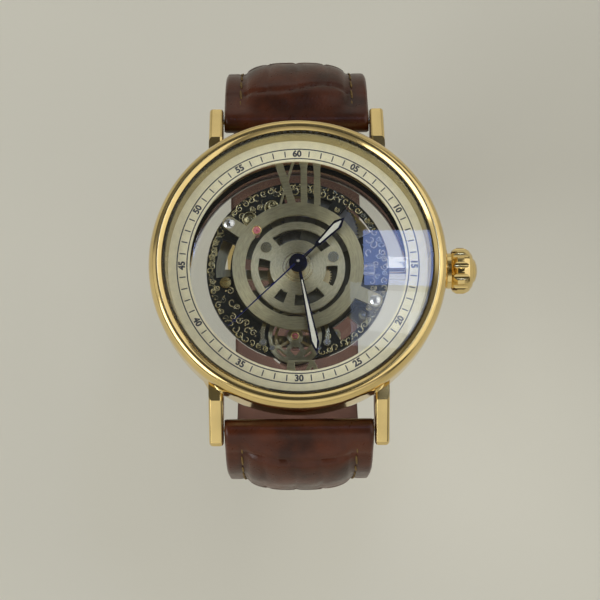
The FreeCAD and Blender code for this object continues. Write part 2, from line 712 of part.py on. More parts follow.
# ---------------------------------------------------------------- going train
barrel_module = 2 * barrel_distance / (barrel_teeth + centre_pinion_teeth)
centre_module = 2 * third_distance / (centre_teeth + third_pinion_teeth)
third_module = 2 * third_distance / (third_teeth + fourth_pinion_teeth)
fourth_module = 2 * escape_distance / (fourth_teeth + escape_pinion_teeth)
cannon_module = 2 * minute_wheel_distance / (cannon_teeth + minute_wheel_teeth)
hour_module = 2 * minute_wheel_distance / (minute_pinion_teeth + hour_teeth)
ratchet_distance = hypot(crown_wheel_x - barrel_at[0], barrel_at[1])
ratchet_module = 2 * ratchet_distance / (crown_wheel_teeth + ratchet_teeth)
ratchet_angle = atan2(barrel_at[1], barrel_at[0] - crown_wheel_x) / deg

centre_phase = 0.0
third_phase = mesh_phase(centre_phase, centre_teeth, third_angle, third_pinion_teeth)
fourth_phase = mesh_phase(third_phase, third_teeth, third_angle + 180, fourth_pinion_teeth)
escape_phase = mesh_phase(fourth_phase, fourth_teeth, escape_angle, escape_pinion_teeth)
barrel_phase = mesh_phase(centre_phase, centre_pinion_teeth, barrel_angle, barrel_teeth)
minute_phase = mesh_phase(centre_phase, cannon_teeth, minute_wheel_angle, minute_wheel_teeth)
hour_phase = mesh_phase(minute_phase, minute_pinion_teeth, minute_wheel_angle + 180, hour_teeth)
ratchet_phase = mesh_phase(0.0, crown_wheel_teeth, ratchet_angle, ratchet_teeth)


def barrel():
    z0, z1 = barrel_z, barrel_z + barrel_h
    drum_r = barrel_teeth * barrel_module / 2 - 1.6 * barrel_module
    rim = gear(barrel_teeth, barrel_module, barrel_rim_z, barrel_rim_z + 0.4, barrel_at, barrel_phase)
    body = rim.fuse(cyl(drum_r, z0, z1, barrel_at))
    hollow = cyl(drum_r - 0.3, z0 + 0.15, z1 - 0.15, barrel_at)
    return cut(body, [hollow, cyl(0.6 + run, z0 - 1, z1 + 1, barrel_at)])


def mainspring():
    drum_r = barrel_teeth * barrel_module / 2 - 1.6 * barrel_module - 0.3
    strip = spiral(drum_r - 1.9, drum_r - 0.08, 7, 0.13, barrel_z + 0.2, barrel_z + barrel_h - 0.2, barrel_at)
    return strip


def barrel_arbor():
    z0 = back_bridge_z - 0.3
    parts = [cyl(0.6, z0, plate_z + 0.3 - 0.02, barrel_at)]
    parts.append(cyl(1.2, z0 + ratchet_t, back_bridge_top + 0.3, barrel_at))
    parts.append(cyl(1.1, barrel_z + 0.2, barrel_z + barrel_h - 0.2, barrel_at))
    parts.append(cyl(pivot_r, plate_z, plate_z + 0.7, barrel_at))
    return fuse(parts)


def ratchet_wheel():
    body = gear(ratchet_teeth, ratchet_module, ratchet_z, ratchet_z + ratchet_t, barrel_at, ratchet_phase)
    return body.cut(cyl(0.6, ratchet_z - 1, ratchet_z + 1, barrel_at))


def crown_wheel():
    top = stem_z - winding_pinion_r - 0.03
    flange = gear(crown_wheel_teeth, ratchet_module, ratchet_z, ratchet_z + ratchet_t, crown_wheel_at, 0.0)
    parts = [flange, cyl(crown_wheel_hub_r, ratchet_z, top - 0.25, crown_wheel_at)]
    step = 360 / face_teeth
    for k in range(face_teeth):
        a0, a1 = (k - 0.25) * step, (k + 0.25) * step
        parts.append(sector(crown_wheel_hub_r, 1.2, a0, a1, top - 0.3, top, crown_wheel_at))
    return fuse(parts)


def click_nose():
    """Where the click's tip meets the ratchet wheel: just clear of its tooth tips."""
    reach = ratchet_teeth * ratchet_module / 2 + 0.8 * ratchet_module + 0.1
    angle = atan2(click_pivot[1] - barrel_at[1], click_pivot[0] - barrel_at[0]) - 0.16
    return barrel_at[0] + reach * cos(angle), barrel_at[1] + reach * sin(angle)


def click():
    nose = click_nose()
    z0, z1 = ratchet_z, ratchet_z + ratchet_t
    x, y = click_pivot
    beak = slab([nose, (x + 0.1, y - 0.5), click_pivot, (x - 0.1, y + 0.45)], z0, z1)
    body = beak.fuse(cyl(0.5, z0, z1, click_pivot))
    return body.cut(cyl(click_bore_r, z0 - 1, z1 + 1, click_pivot)).removeSplitter()


def click_spring():
    x, y = click_pivot
    z0, z1 = ratchet_z, back_bridge_z
    foot = cyl(0.4, z0, z1, (x + 1.4, y - 1.9))
    leaf = bar((x + 1.4, y - 1.9), (x + 0.62, y + 0.1), 0.14, z0, z0 + ratchet_t)
    return foot.fuse(leaf).removeSplitter()


def centre_wheel():
    z1 = plate_top + 0.7
    parts = [wheel(centre_teeth, centre_module, centre_z, centre_z + wheel_t, (0, 0), centre_phase, 5, 1.2)]
    low = barrel_rim_z - 0.15
    parts.append(gear(centre_pinion_teeth, barrel_module, low, centre_z, (0, 0), centre_phase))
    parts.append(cyl(0.5, third_z + wheel_t + 0.2, z1))
    return cut(fuse(parts), [cyl(0.22 + run, 0, 12)])


def arbor(at, z0, z1, lower_t=jewel_t):
    """A pivoted arbor from one jewel to the other, leaving end shake."""
    pivot = cyl(pivot_r, z0 - lower_t + 0.05, z1 + jewel_t - 0.05, at)
    return fuse([cyl(arbor_r, z0 + 0.08, z1 - 0.08, at), pivot])


def third_wheel():
    parts = [wheel(third_teeth, third_module, third_z, third_z + wheel_t, third_at, third_phase, 5, 0.9)]
    low, high = centre_z - 0.12, centre_z + wheel_t + 0.06
    parts.append(gear(third_pinion_teeth, centre_module, low, high, third_at, third_phase))
    parts.append(arbor(third_at, back_bridge_top, plate_z))
    return fuse(parts)


def fourth_wheel():
    parts = [wheel(fourth_teeth, fourth_module, fourth_z, fourth_z + wheel_t, (0, 0), fourth_phase, 5, 0.9)]
    low, high = fourth_z + wheel_t, third_z + wheel_t + 0.08
    parts.append(gear(fourth_pinion_teeth, third_module, low, high, (0, 0), fourth_phase))
    parts.append(cyl(0.22, back_bridge_top + 0.05, second_z + hand_t + 0.12))
    parts.append(cyl(pivot_r, back_bridge_top - jewel_t + 0.05, back_bridge_top + 0.1))
    return fuse(parts)


def escape_wheel():
    z0, z1 = escape_z, escape_z + wheel_t
    root_r = escape_r - 0.5
    tooth = ((root_r, 0.0), (root_r + 0.05, 0.3), (escape_r, 0.62), (escape_r, 0.78), (root_r, 0.8))
    points = []
    for k in range(escape_teeth):
        for r, share in tooth:
            a = escape_phase + (k + share) * 360 / escape_teeth
            x, y = polar(r, a)
            points.append((escape_at[0] + x, escape_at[1] + y))
    body = slab(points, z0, z1)
    for k in range(4):
        body = body.cut(sector(escape_r - 0.8, 0.6, 90 * k + 14, 90 * k + 76, z0 - 1, z1 + 1, escape_at))
    low, high = fourth_z - 0.08, fourth_z + wheel_t + 0.1
    pinion = gear(escape_pinion_teeth, fourth_module, low, high, escape_at, escape_phase)
    return fuse([body, pinion, arbor(escape_at, back_bridge_top, plate_z)])


def stone_place(angle):
    """A pallet stone stands just outside the escape wheel's tip circle."""
    ax = lever_dir[0] * cos(angle * deg) - lever_dir[1] * sin(angle * deg)
    ay = lever_dir[0] * sin(angle * deg) + lever_dir[1] * cos(angle * deg)
    reach = escape_r + 0.32
    return escape_at[0] + reach * ax, escape_at[1] + reach * ay


def pallet_fork():
    z0, z1 = escape_z, escape_z + wheel_t
    reach = lever_run - pallet_lead - 0.75
    tip = (pallet_at[0] + reach * lever_dir[0], pallet_at[1] + reach * lever_dir[1])
    parts = [bar(pallet_at, tip, 0.36, z0, z1), cyl(0.45, z0, z1, pallet_at)]
    side = (-lever_dir[1], lever_dir[0])
    for s in (1, -1):
        start = (tip[0] - 0.25 * lever_dir[0], tip[1] - 0.25 * lever_dir[1])
        horn = (tip[0] + s * 0.3 * side[0], tip[1] + s * 0.3 * side[1])
        parts.append(bar(start, horn, 0.16, z0, z1))
        parts.append(bar(pallet_at, stone_place(s * 36), 0.34, z0, z1))
    parts.append(arbor(pallet_at, pallet_bridge_z + pallet_bridge_t, plate_z, pallet_jewel_t))
    return fuse(parts)


def balance_wheel():
    z0, z1 = plate_z + 0.15, plate_z + 0.5
    x, y = balance_at
    parts = [ring(balance_r, balance_r - 0.42, z0, z1, balance_at), cyl(0.55, z0, z1, balance_at)]
    spoke = box(x, x + balance_r - 0.2, y - 0.2, y + 0.2, z0, z0 + 0.2)
    parts += [spin(spoke, a, balance_at) for a in (90, 210, 330)]
    parts += [cyl(arbor_r, back_bridge_top + 0.08, plate_top + 0.02, balance_at)]
    parts += [cyl(pivot_r, back_bridge_top - jewel_t + 0.05, plate_top + 0.35, balance_at)]
    roller_z = escape_z + wheel_t + 0.04
    parts += [cyl(0.7, roller_z, roller_z + 0.16, balance_at)]
    return fuse(parts)


def hairspring():
    z0 = escape_z + wheel_t + 0.32
    x, y = balance_at
    coil = spiral(0.5, 1.75, 6, 0.06, z0, z0 + 0.16, balance_at)
    collet = ring(0.54, arbor_r, z0, z0 + 0.16, balance_at)
    return coil.fuse(collet)


# ---------------------------------------------------------------- motion works and hands
def cannon_pinion():
    z0 = plate_top + 0.08
    parts = [gear(cannon_teeth, cannon_module, z0, z0 + 0.4, (0, 0), centre_phase)]
    parts.append(cyl(0.66, z0 + 0.2, minute_z - 0.25))
    parts.append(cyl(0.52, z0 + 0.2, minute_z + hand_t))
    shape = fuse(parts)
    return cut(shape, [cyl(0.5, 0, plate_top + 0.7), cyl(0.22 + run, 0, 12)])


def minute_wheel():
    z0 = plate_top + 0.14
    parts = [gear(minute_wheel_teeth, cannon_module, z0, z0 + wheel_t, minute_wheel_at, minute_phase)]
    low, high = z0 + wheel_t, z0 + 0.85
    parts.append(gear(minute_pinion_teeth, hour_module, low, high, minute_wheel_at, minute_phase))
    return cut(fuse(parts), [cyl(0.2 + run, 0, 12, minute_wheel_at)])


def hour_wheel():
    z0 = plate_top + 0.7
    parts = [gear(hour_teeth, hour_module, z0, z0 + wheel_t, (0, 0), hour_phase)]
    parts.append(cyl(0.98, z0, hour_z - 0.25))
    parts.append(cyl(0.84, z0, hour_z + hand_t))
    return cut(fuse(parts), [cyl(0.66 + run, 0, 12)])


def hand(profile, z, hub_r, bore, angle):
    """A hand pointing at 12 from (half width, y) stations, turned to its rest angle."""
    points = [(w, y) for w, y in profile] + [(-w, y) for w, y in profile[::-1]]
    body = slab(points, z, z + hand_t).fuse(cyl(hub_r, z, z + hand_t)).removeSplitter()
    return spin(body.cut(cyl(bore, z - 1, z + 1)), -angle)


def hour_hand():
    stations = [(0.16, 0.5), (0.16, 3.6), (0.42, 4.2), (0.72, 8.3), (0.02, hour_reach)]
    return hand(stations, hour_z, 1.35, 0.84, hour_angle)


def minute_hand():
    stations = [(0.2, 0.4), (0.24, 2.4), (0.62, 12.2), (0.02, minute_reach)]
    return hand(stations, minute_z, 1.3, 0.52, minute_angle)


def second_hand():
    stations = [(0.1, -2.6), (0.12, 0.0), (0.06, second_reach)]
    needle = hand(stations, second_z, 0.62, 0.22, second_angle)
    cross = box(-0.32, 0.32, second_reach - 1.3, second_reach - 1.15, second_z, second_z + hand_t)
    cross = spin(cross, -second_angle)
    return needle.fuse(cross).removeSplitter()


# ---------------------------------------------------------------- setting works
def setting_lever():
    z0, z1 = plate_z - 0.5, plate_z - 0.28
    body = bar(lever_pivot, lever_pin, 0.6, z0, z1).fuse(cyl(0.2, z0, stem_z - 0.29, lever_pin))
    return body.cut(cyl(0.3 + run, z0 - 1, z1 + 0.01, lever_pivot)).removeSplitter()


def lever_spring():
    z0, z1 = plate_z - 0.5, plate_z - 0.28
    foot = (9.2, -4.3)
    leaf = bar(foot, (11.5, -2.2), 0.3, z0, z1)
    return leaf.fuse(cyl(0.45, z0, plate_z, foot)).removeSplitter()


def yoke():
    z0, z1 = plate_z - 0.62, plate_z - 0.44
    body = bar(yoke_pivot, yoke_tip, 0.3, z0, z1).fuse(cyl(0.6, z0, z1, yoke_pivot))
    return body.cut(cyl(0.3 + run, z0 - 1, z1 + 1, yoke_pivot)).removeSplitter()


# ---------------------------------------------------------------- strap and buckle
buckle_path = [("line", 3.0), ("arc", 11.4, 68.0), ("arc", 50.0, 18.0), ("line", 34.0)]
long_path = [("line", 1.0), ("arc", 9.0, 50.0), ("line", 1.5), ("arc", 30.0, 25.0), ("line", 9.94),
             ("arc", 17.0, 65.0), ("line", 11.58), ("arc", 18.0, 80.0), ("line", 13.0)]
buckle_start, long_start = -22.0, -40.0


def clipped(path, start, stop):
    """The stretch of a path between two distances along it, with the walk up to its start."""
    before, inside, done = [], [], 0.0
    for piece in path:
        length = piece[1] if piece[0] == "line" else piece[1] * piece[2] * deg
        end = done + length
        for a, b, store in ((done, min(end, start), before), (max(done, start), min(end, stop), inside)):
            if b - a > 1e-6:
                bend = ("arc", piece[1], (b - a) / piece[1] / deg) if piece[0] == "arc" else None
                store.append(bend or ("line", b - a))
        done += length
    return before, inside


def walk(path, y, z, heading):
    """Corners, middles and headings of a path of lines and arcs that always turns downward and inward."""
    rows = [(y, z, heading)]
    for piece in path:
        if piece[0] == "line":
            y, z = y + piece[1] * cos(heading * deg), z + piece[1] * sin(heading * deg)
            rows.append((y, z, heading))
            continue
        r, turn = piece[1], piece[2]
        cy, cz = y + r * sin(heading * deg), z - r * cos(heading * deg)
        for share in (0.5, 1.0):
            h = heading - turn * share
            y, z = cy - r * sin(h * deg), cz + r * cos(h * deg)
            rows.append((y, z, h))
        heading = rows[-1][2]
    return rows


def band(path, heading, end, start, stop, low, high, width):
    """A strip of the strap between two distances along its path and two heights above it."""
    before, inside = clipped(path, start, stop)
    y, z, h = walk(before, bar_y, bar_z, heading)[-1]
    rows = walk(inside, y, z, h)

    def spot(row, lift):
        y, z, h = row
        return Vector(-width / 2, end * (y - lift * sin(h * deg)), z + lift * cos(h * deg))

    def side(lift):
        edges, k = [], 0
        for piece in inside:
            if piece[0] == "line":
                edges.append(Part.LineSegment(spot(rows[k], lift), spot(rows[k + 1], lift)).toShape())
                k += 1
            else:
                corners = [spot(row, lift) for row in rows[k:k + 3]]
                edges.append(Part.Arc(*corners).toShape())
                k += 2
        return edges

    caps = [Part.LineSegment(spot(row, low), spot(row, high)).toShape() for row in (rows[0], rows[-1])]
    wire = Part.Wire(Part.__sortEdges__(side(low) + side(high) + caps))
    return Part.Face(wire).extrude(Vector(width, 0, 0))


def path_place(path, heading, distance):
    before, _ = clipped(path, distance, distance + 1)
    return walk(before, bar_y, bar_z, heading)[-1]


def path_length(path):
    return sum(piece[1] if piece[0] == "line" else piece[1] * piece[2] * deg for piece in path)


def local_box(path, heading, end, distance, half_x, half_l, low, high):
    """A block set square to the strap at a distance along it."""
    y, z, h = path_place(path, heading, distance)
    block = Part.makeBox(2 * half_x, 2 * half_l, high - low, Vector(-half_x, -half_l, low))
    block.rotate(Vector(0, 0, 0), Vector(1, 0, 0), h)
    block.translate(Vector(0, y, z))
    return block if end > 0 else block.mirror(Vector(0, 0, 0), Vector(0, 1, 0))


def local_plate(path, heading, end, distance, points, low, high):
    """A plate drawn in (across, along) corners and set on the strap at a distance along it."""
    y, z, h = path_place(path, heading, distance)
    plate = slab(points, low, high)
    plate.rotate(Vector(0, 0, 0), Vector(1, 0, 0), h)
    plate.translate(Vector(0, y, z))
    return plate if end > 0 else plate.mirror(Vector(0, 0, 0), Vector(0, 1, 0))


def local_pin(path, heading, end, distance, r, low, high, x=0.0):
    y, z, h = path_place(path, heading, distance)
    pin = Part.makeCylinder(r, high - low, Vector(x, 0, low))
    pin.rotate(Vector(0, 0, 0), Vector(1, 0, 0), h)
    pin.translate(Vector(0, y, z))
    return pin if end > 0 else pin.mirror(Vector(0, 0, 0), Vector(0, 1, 0))


def strap_half_width(z):
    """Half the strap's width at a height: it narrows evenly from the lugs down to the buckle."""
    share = (bar_z - z) / (bar_z - strap_taper_z)
    return strap_w / 2 + (strap_end_w - strap_w) / 2 * share


def strap_half(path, heading, end, stop):
    """One half of the strap: a tapered band with an eye for its spring bar and a padded middle."""
    half = strap_t / 2
    parts = [band(path, heading, end, 0.0, stop, -half, half, strap_w)]
    parts.append(rod(strap_eye_r, -strap_w / 2, strap_w / 2, end * bar_y, bar_z))
    for k, (start, shrink) in enumerate(((4.5, 0.0), (6.5, 1.6))):
        rise = pad_t * (0.5 + 0.5 * k)
        parts.append(band(path, heading, end, start, 44.0 - start, half - 0.2, half + rise, pad_w - shrink))
    body = fuse(parts)
    far_x, far_y = strap_w, 2.5 * bar_y
    for side in (1, -1):
        edge = [(strap_w / 2, bar_z), (strap_end_w / 2, strap_taper_z)]
        corners = [edge[0], (far_x, bar_z), (far_x, strap_taper_z), edge[1]]
        wedge = face([(side * x, 0, z) for x, z in corners])
        wedge.translate(Vector(0, -far_y, 0))
        body = body.cut(wedge.extrude(Vector(0, 2 * far_y, 0)))
    return body.cut(rod(bar_r + run, -far_x, far_x, end * bar_y, bar_z))


buckle_stop = path_length(buckle_path) - 1.6
fixed_keeper_at = buckle_stop - 9.0
free_keeper_at = buckle_stop - 20.0
free_keeper_travel = 2.0


def strap_buckle_half():
    body = strap_half(buckle_path, buckle_start, 1, buckle_stop)
    eye = local_box(buckle_path, buckle_start, 1, buckle_stop, 8.6, 1.25, -1.25, 1.25)
    body = body.fuse(eye)
    y, z, _ = path_place(buckle_path, buckle_start, buckle_stop)
    slot = local_box(buckle_path, buckle_start, 1, buckle_stop, 1.3, 3.2, -5, 5)
    return cut(body, [rod(bar_r + run, -30, 30, y, z), slot]).removeSplitter()


def strap_long_half():
    stop = path_length(long_path)
    body = strap_half(long_path, long_start, -1, stop)
    half = strap_w / 2
    corners = [[(s * 1.5, 0.1), (s * half, -9.0), (s * half, 1.0), (s * 1.5, 1.0)] for s in (1, -1)]
    body = cut(body, [local_plate(long_path, long_start, -1, stop, points, -4, 4) for points in corners])
    places = [stop - 12 - hole_pitch * k for k in range(7)]
    return cut(body, [local_pin(long_path, long_start, -1, at, hole_r, -4, 4) for at in places])


def buckle_place():
    return path_place(buckle_path, buckle_start, buckle_stop)


def buckle_local(shape):
    """Set a piece drawn with its bar at the origin and its frame along +Y at the strap's end."""
    y, z, h = buckle_place()
    shape.rotate(Vector(0, 0, 0), Vector(1, 0, 0), h)
    shape.translate(Vector(0, y, z))
    return shape


def buckle_bar():
    y, z, _ = buckle_place()
    return rod(bar_r, -buckle_w / 2 + wire_r, buckle_w / 2 - wire_r, y, z)


def buckle_frame():
    half = buckle_w / 2
    outer = box(-half, half, -wire_r, buckle_l, -wire_r, wire_r)
    inner = box(-half + 2 * wire_r, half - 2 * wire_r, -5, buckle_l - 2 * wire_r, -5, 5)
    body = outer.cut(inner)
    for x in (-half, half - 2 * wire_r):
        body = body.fuse(rod(wire_r + 0.25, x, x + 2 * wire_r))
    body = body.cut(rod(bar_r + run, -half + wire_r, half - wire_r)).removeSplitter()
    return buckle_local(body)


def prong():
    width = 1.8
    eye = rod(bar_r + 0.6, -width / 2, width / 2).cut(rod(bar_r + run, -5, 5))
    arm = box(-width / 2, width / 2, bar_r + 0.3, buckle_l - 2 * wire_r - 0.1, 0.2, 1.2)
    tip = box(-width / 2, width / 2, buckle_l - 2 * wire_r - 0.3, buckle_l - 0.4, wire_r + 0.1, wire_r + 0.9)
    return buckle_local(fuse([eye, arm, tip]))


def keeper(distance, travel=0.0):
    """A leather loop just wider than the strap at the upper end of the keeper's travel."""
    _, z, _ = path_place(buckle_path, buckle_start, distance - keeper_w / 2 - travel)
    width = strap_half_width(z) + 0.12
    outer = local_box(buckle_path, buckle_start, 1, distance, width + keeper_t, keeper_w / 2, -2.1, 4.4)
    inner = local_box(buckle_path, buckle_start, 1, distance, width, keeper_w, -1.2, 3.6)
    return outer.cut(inner)


def spring_bars():
    bars = []
    for end in (1, -1):
        sleeve = rod(bar_r, -lug_gap / 2 + 0.1, lug_gap / 2 - 0.1, end * bar_y, bar_z)
        pins = rod(bar_pin_r, -lug_gap / 2 - bar_pin_l, lug_gap / 2 + bar_pin_l, end * bar_y, bar_z)
        bars.append(sleeve.fuse(pins).removeSplitter())
    return Part.makeCompound(bars)


# ---------------------------------------------------------------- write every sub-part
parts = {
    "case_middle": case_middle,
    "bezel": bezel,
    "crystal": crystal,
    "rehaut": rehaut,
    "dial_ring": dial_ring,
    "movement_holder": movement_holder,
    "caseback_ring": caseback_ring,
    "rear_crystal": lambda: cyl(rear_crystal_r, back_lip, back_lip + rear_crystal_t),
    "case_gaskets": case_gaskets,
    "caseback_screws": caseback_screws,
    "crown_tube": crown_tube,
    "crown_gasket": crown_gasket,
    "crown": crown,
    "winding_stem": stem,
    "winding_pinion": winding_pinion,
    "sliding_pinion": sliding_pinion,
    "setting_lever": setting_lever,
    "setting_lever_spring": lever_spring,
    "yoke": yoke,
    "mainplate": mainplate,
    "dial_bridge": dial_bridge,
    "numeral_six": numeral_six,
    "inner_bridge": inner_bridge,
    "barrel_bridge": barrel_bridge,
    "train_bridge": train_bridge,
    "balance_bridge": balance_bridge,
    "pallet_bridge": pallet_bridge,
    "balance_cock": balance_cock,
    "balance_guards": balance_guards,
    "jewels": jewels,
    "dial_side_screws": dial_side_screws,
    "back_screws": back_screws,
    "barrel": barrel,
    "mainspring": mainspring,
    "barrel_arbor": barrel_arbor,
    "ratchet_wheel": ratchet_wheel,
    "crown_wheel": crown_wheel,
    "click": click,
    "click_spring": click_spring,
    "centre_wheel": centre_wheel,
    "third_wheel": third_wheel,
    "fourth_wheel": fourth_wheel,
    "escape_wheel": escape_wheel,
    "pallet_fork": pallet_fork,
    "balance_wheel": balance_wheel,
    "hairspring": hairspring,
    "cannon_pinion": cannon_pinion,
    "minute_wheel": minute_wheel,
    "hour_wheel": hour_wheel,
    "hour_hand": hour_hand,
    "minute_hand": minute_hand,
    "second_hand": second_hand,
    "spring_bars": spring_bars,
    "strap_buckle_half": strap_buckle_half,
    "strap_long_half": strap_long_half,
    "buckle_bar": buckle_bar,
    "buckle_frame": buckle_frame,
    "buckle_prong": prong,
    "fixed_keeper": lambda: keeper(fixed_keeper_at),
    "free_keeper": lambda: keeper(free_keeper_at, free_keeper_travel),
}

os.makedirs("parts", exist_ok=True)
for name, make in parts.items():
    shape = make()
    shape.exportStep("parts/" + name + ".step")
    solids = shape.Solids
    print(name, len(solids), "solids", round(sum(s.Volume for s in solids), 3), "valid", shape.isValid())
print(len(parts), "nodes")
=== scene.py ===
from math import cos, exp, hypot, pi, radians, sin, sqrt
from random import Random

import bpy
from mathutils.bvhtree import BVHTree
from mathutils import Matrix, Vector


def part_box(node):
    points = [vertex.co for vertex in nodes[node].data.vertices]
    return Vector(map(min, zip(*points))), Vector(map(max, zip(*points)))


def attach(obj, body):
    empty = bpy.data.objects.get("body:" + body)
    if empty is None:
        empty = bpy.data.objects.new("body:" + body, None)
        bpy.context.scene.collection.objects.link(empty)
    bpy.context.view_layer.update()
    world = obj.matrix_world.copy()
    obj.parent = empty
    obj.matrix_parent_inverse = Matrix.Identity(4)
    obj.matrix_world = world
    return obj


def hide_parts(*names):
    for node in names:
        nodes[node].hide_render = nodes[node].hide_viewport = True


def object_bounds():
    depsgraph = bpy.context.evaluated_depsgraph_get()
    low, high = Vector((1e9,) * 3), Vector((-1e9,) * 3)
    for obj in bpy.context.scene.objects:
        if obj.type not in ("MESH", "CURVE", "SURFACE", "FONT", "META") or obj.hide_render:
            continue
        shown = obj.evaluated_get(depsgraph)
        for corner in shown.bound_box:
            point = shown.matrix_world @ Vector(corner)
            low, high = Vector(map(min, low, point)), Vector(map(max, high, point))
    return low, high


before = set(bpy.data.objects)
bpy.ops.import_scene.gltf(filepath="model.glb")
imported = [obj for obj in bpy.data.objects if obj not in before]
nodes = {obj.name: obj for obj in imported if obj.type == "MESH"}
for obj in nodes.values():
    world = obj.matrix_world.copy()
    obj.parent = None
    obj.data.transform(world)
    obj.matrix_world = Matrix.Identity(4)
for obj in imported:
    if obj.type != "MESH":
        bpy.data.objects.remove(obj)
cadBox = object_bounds()
mm = 0.001
meshValues = dict(mergeGap=2e-6, flatAngle=0.6, turnedAngle=35, copyAngle=30, smallAngle=60)
print("frame loaded,", len(nodes), "nodes")


def clearSelection():
    bpy.ops.object.select_all(action="DESELECT")


def pick(*pieces):
    clearSelection()
    for piece in pieces:
        piece.select_set(True)
    bpy.context.view_layer.objects.active = pieces[0]


def settle(piece):
    # modifiers and place go into the mesh, so the object stays at the origin
    pick(piece)
    for modifier in list(piece.modifiers):
        bpy.ops.object.modifier_apply(modifier=modifier.name)
    bpy.ops.object.transform_apply(location=True, rotation=True, scale=True)
    return piece


def editAll(piece, *steps):
    # runs edit-mode steps with the whole mesh selected
    pick(piece)
    bpy.ops.object.mode_set(mode="EDIT")
    for step in steps:
        bpy.ops.mesh.select_all(action="SELECT")
        step()
    bpy.ops.object.mode_set(mode="OBJECT")


def mergeDoubles(gap=meshValues["mergeGap"]):
    bpy.ops.mesh.remove_doubles(threshold=gap)


def faceOut():
    bpy.ops.mesh.normals_make_consistent(inside=False)


def joined(name, pieces):
    pick(*pieces)
    if len(pieces) > 1:
        bpy.ops.object.join()
    piece = bpy.context.object
    piece.name = name
    piece.data.name = name
    return settle(piece)


def meshPiece(name, points, faces, edges=()):
    mesh = bpy.data.meshes.new(name)
    mesh.from_pydata(points, edges, faces)
    piece = bpy.data.objects.new(name, mesh)
    bpy.context.scene.collection.objects.link(piece)
    return piece


def turnedPiece(name, outline, steps):
    # a closed outline of (radius, height) in mm, spun round the dial's axis
    count = len(outline)
    points = [(r * mm, 0, z * mm) for r, z in outline]
    piece = meshPiece(name, points, [], [(k, (k + 1) % count) for k in range(count)])
    editAll(piece, lambda: bpy.ops.mesh.spin(steps=steps, angle=2 * pi, center=(0, 0, 0), axis=(0, 0, 1)),
            mergeDoubles, faceOut)
    smooth(piece, meshValues["turnedAngle"])
    return piece


def smooth(piece, angle):
    pick(piece)
    bpy.ops.object.shade_smooth_by_angle(angle=radians(angle))


def placedCopy(piece, matrix):
    twin = bpy.data.objects.new(piece.name, piece.data.copy())
    twin.data.transform(matrix)
    if matrix.determinant() < 0:
        twin.data.flip_normals()
    bpy.context.scene.collection.objects.link(twin)
    return twin


def dropped(piece):
    bpy.data.objects.remove(piece, do_unlink=True)


def finishPiece(piece, body, slotName, *finishes):
    piece.data.materials.clear()
    for finish in finishes:
        piece.data.materials.append(finish)
    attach(piece, body)
    return piece


def bevelledCopy(nodeName, name, width, segments=2, angle=32, edgeFinish=0, firstStep=None):
    # a merged copy of a node with its sharp edges eased; firstStep may shape it before that
    piece = bpy.data.objects.new(name, nodes[nodeName].data.copy())
    bpy.context.scene.collection.objects.link(piece)
    flat = radians(meshValues["flatAngle"])
    editAll(piece, mergeDoubles,
            lambda: bpy.ops.mesh.dissolve_limited(angle_limit=flat, use_dissolve_boundaries=False))
    if firstStep:
        firstStep(piece)
    bevel = piece.modifiers.new("easedEdges", "BEVEL")
    bevel.width = width * mm
    bevel.segments = segments
    bevel.limit_method = "ANGLE"
    bevel.angle_limit = radians(angle)
    bevel.use_clamp_overlap = True
    bevel.material = edgeFinish
    settle(piece)
    smooth(piece, meshValues["copyAngle"])
    even = piece.modifiers.new("evenShading", "WEIGHTED_NORMAL")
    even.keep_sharp = True
    settle(piece)
    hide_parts(nodeName)
    return piece


# finishes: one small function for each kind of surface; a grain's numbers are its scale and detail
def shaded(colour, share):
    return tuple(min(1, c * share) for c in colour)


def blankFinish(name, colour, metallic, roughness):
    finish = bpy.data.materials.new(name)
    finish.use_nodes = True
    shader = finish.node_tree.nodes["Principled BSDF"]
    shader.inputs["Base Color"].default_value = (*colour, 1)
    shader.inputs["Metallic"].default_value = metallic
    shader.inputs["Roughness"].default_value = roughness
    finish.diffuse_color = (*colour, 1)
    return finish, shader


def node(finish, kind, **settings):
    made = finish.node_tree.nodes.new(kind)
    for key, value in settings.items():
        setattr(made, key, value)
    return made


def wire(finish, source, target):
    finish.node_tree.links.new(source, target)


def grain(finish, scale, detail, stretch=(1, 1, 1)):
    place = node(finish, "ShaderNodeTexCoord")
    mapping = node(finish, "ShaderNodeMapping")
    mapping.inputs["Scale"].default_value = stretch
    noise = node(finish, "ShaderNodeTexNoise")
    noise.inputs["Scale"].default_value = scale
    noise.inputs["Detail"].default_value = detail
    wire(finish, place.outputs["Object"], mapping.inputs["Vector"])
    wire(finish, mapping.outputs["Vector"], noise.inputs["Vector"])
    return noise.outputs["Fac"]


def fillStops(made, stops):
    while len(made.color_ramp.elements) < len(stops):
        made.color_ramp.elements.new(0.5)
    for element, (at, colour) in zip(made.color_ramp.elements, stops):
        element.position = at
        element.color = (*colour, 1)


def ramp(finish, value, stops):
    made = node(finish, "ShaderNodeValToRGB")
    fillStops(made, stops)
    wire(finish, value, made.inputs["Fac"])
    return made.outputs["Color"]


def spread(finish, value, low, high):
    made = node(finish, "ShaderNodeMapRange")
    made.inputs["To Min"].default_value = low
    made.inputs["To Max"].default_value = high
    wire(finish, value, made.inputs["Value"])
    return made.outputs["Result"]


def bump(finish, shader, value, distance, strength=1.0):
    made = node(finish, "ShaderNodeBump")
    made.inputs["Distance"].default_value = distance * mm
    made.inputs["Strength"].default_value = strength
    wire(finish, value, made.inputs["Height"])
    wire(finish, made.outputs["Normal"], shader.inputs["Normal"])


def colourFrom(finish, shader, value, stops):
    wire(finish, ramp(finish, value, stops), shader.inputs["Base Color"])


def roughnessFrom(finish, shader, value, low, high):
    wire(finish, spread(finish, value, low, high), shader.inputs["Roughness"])


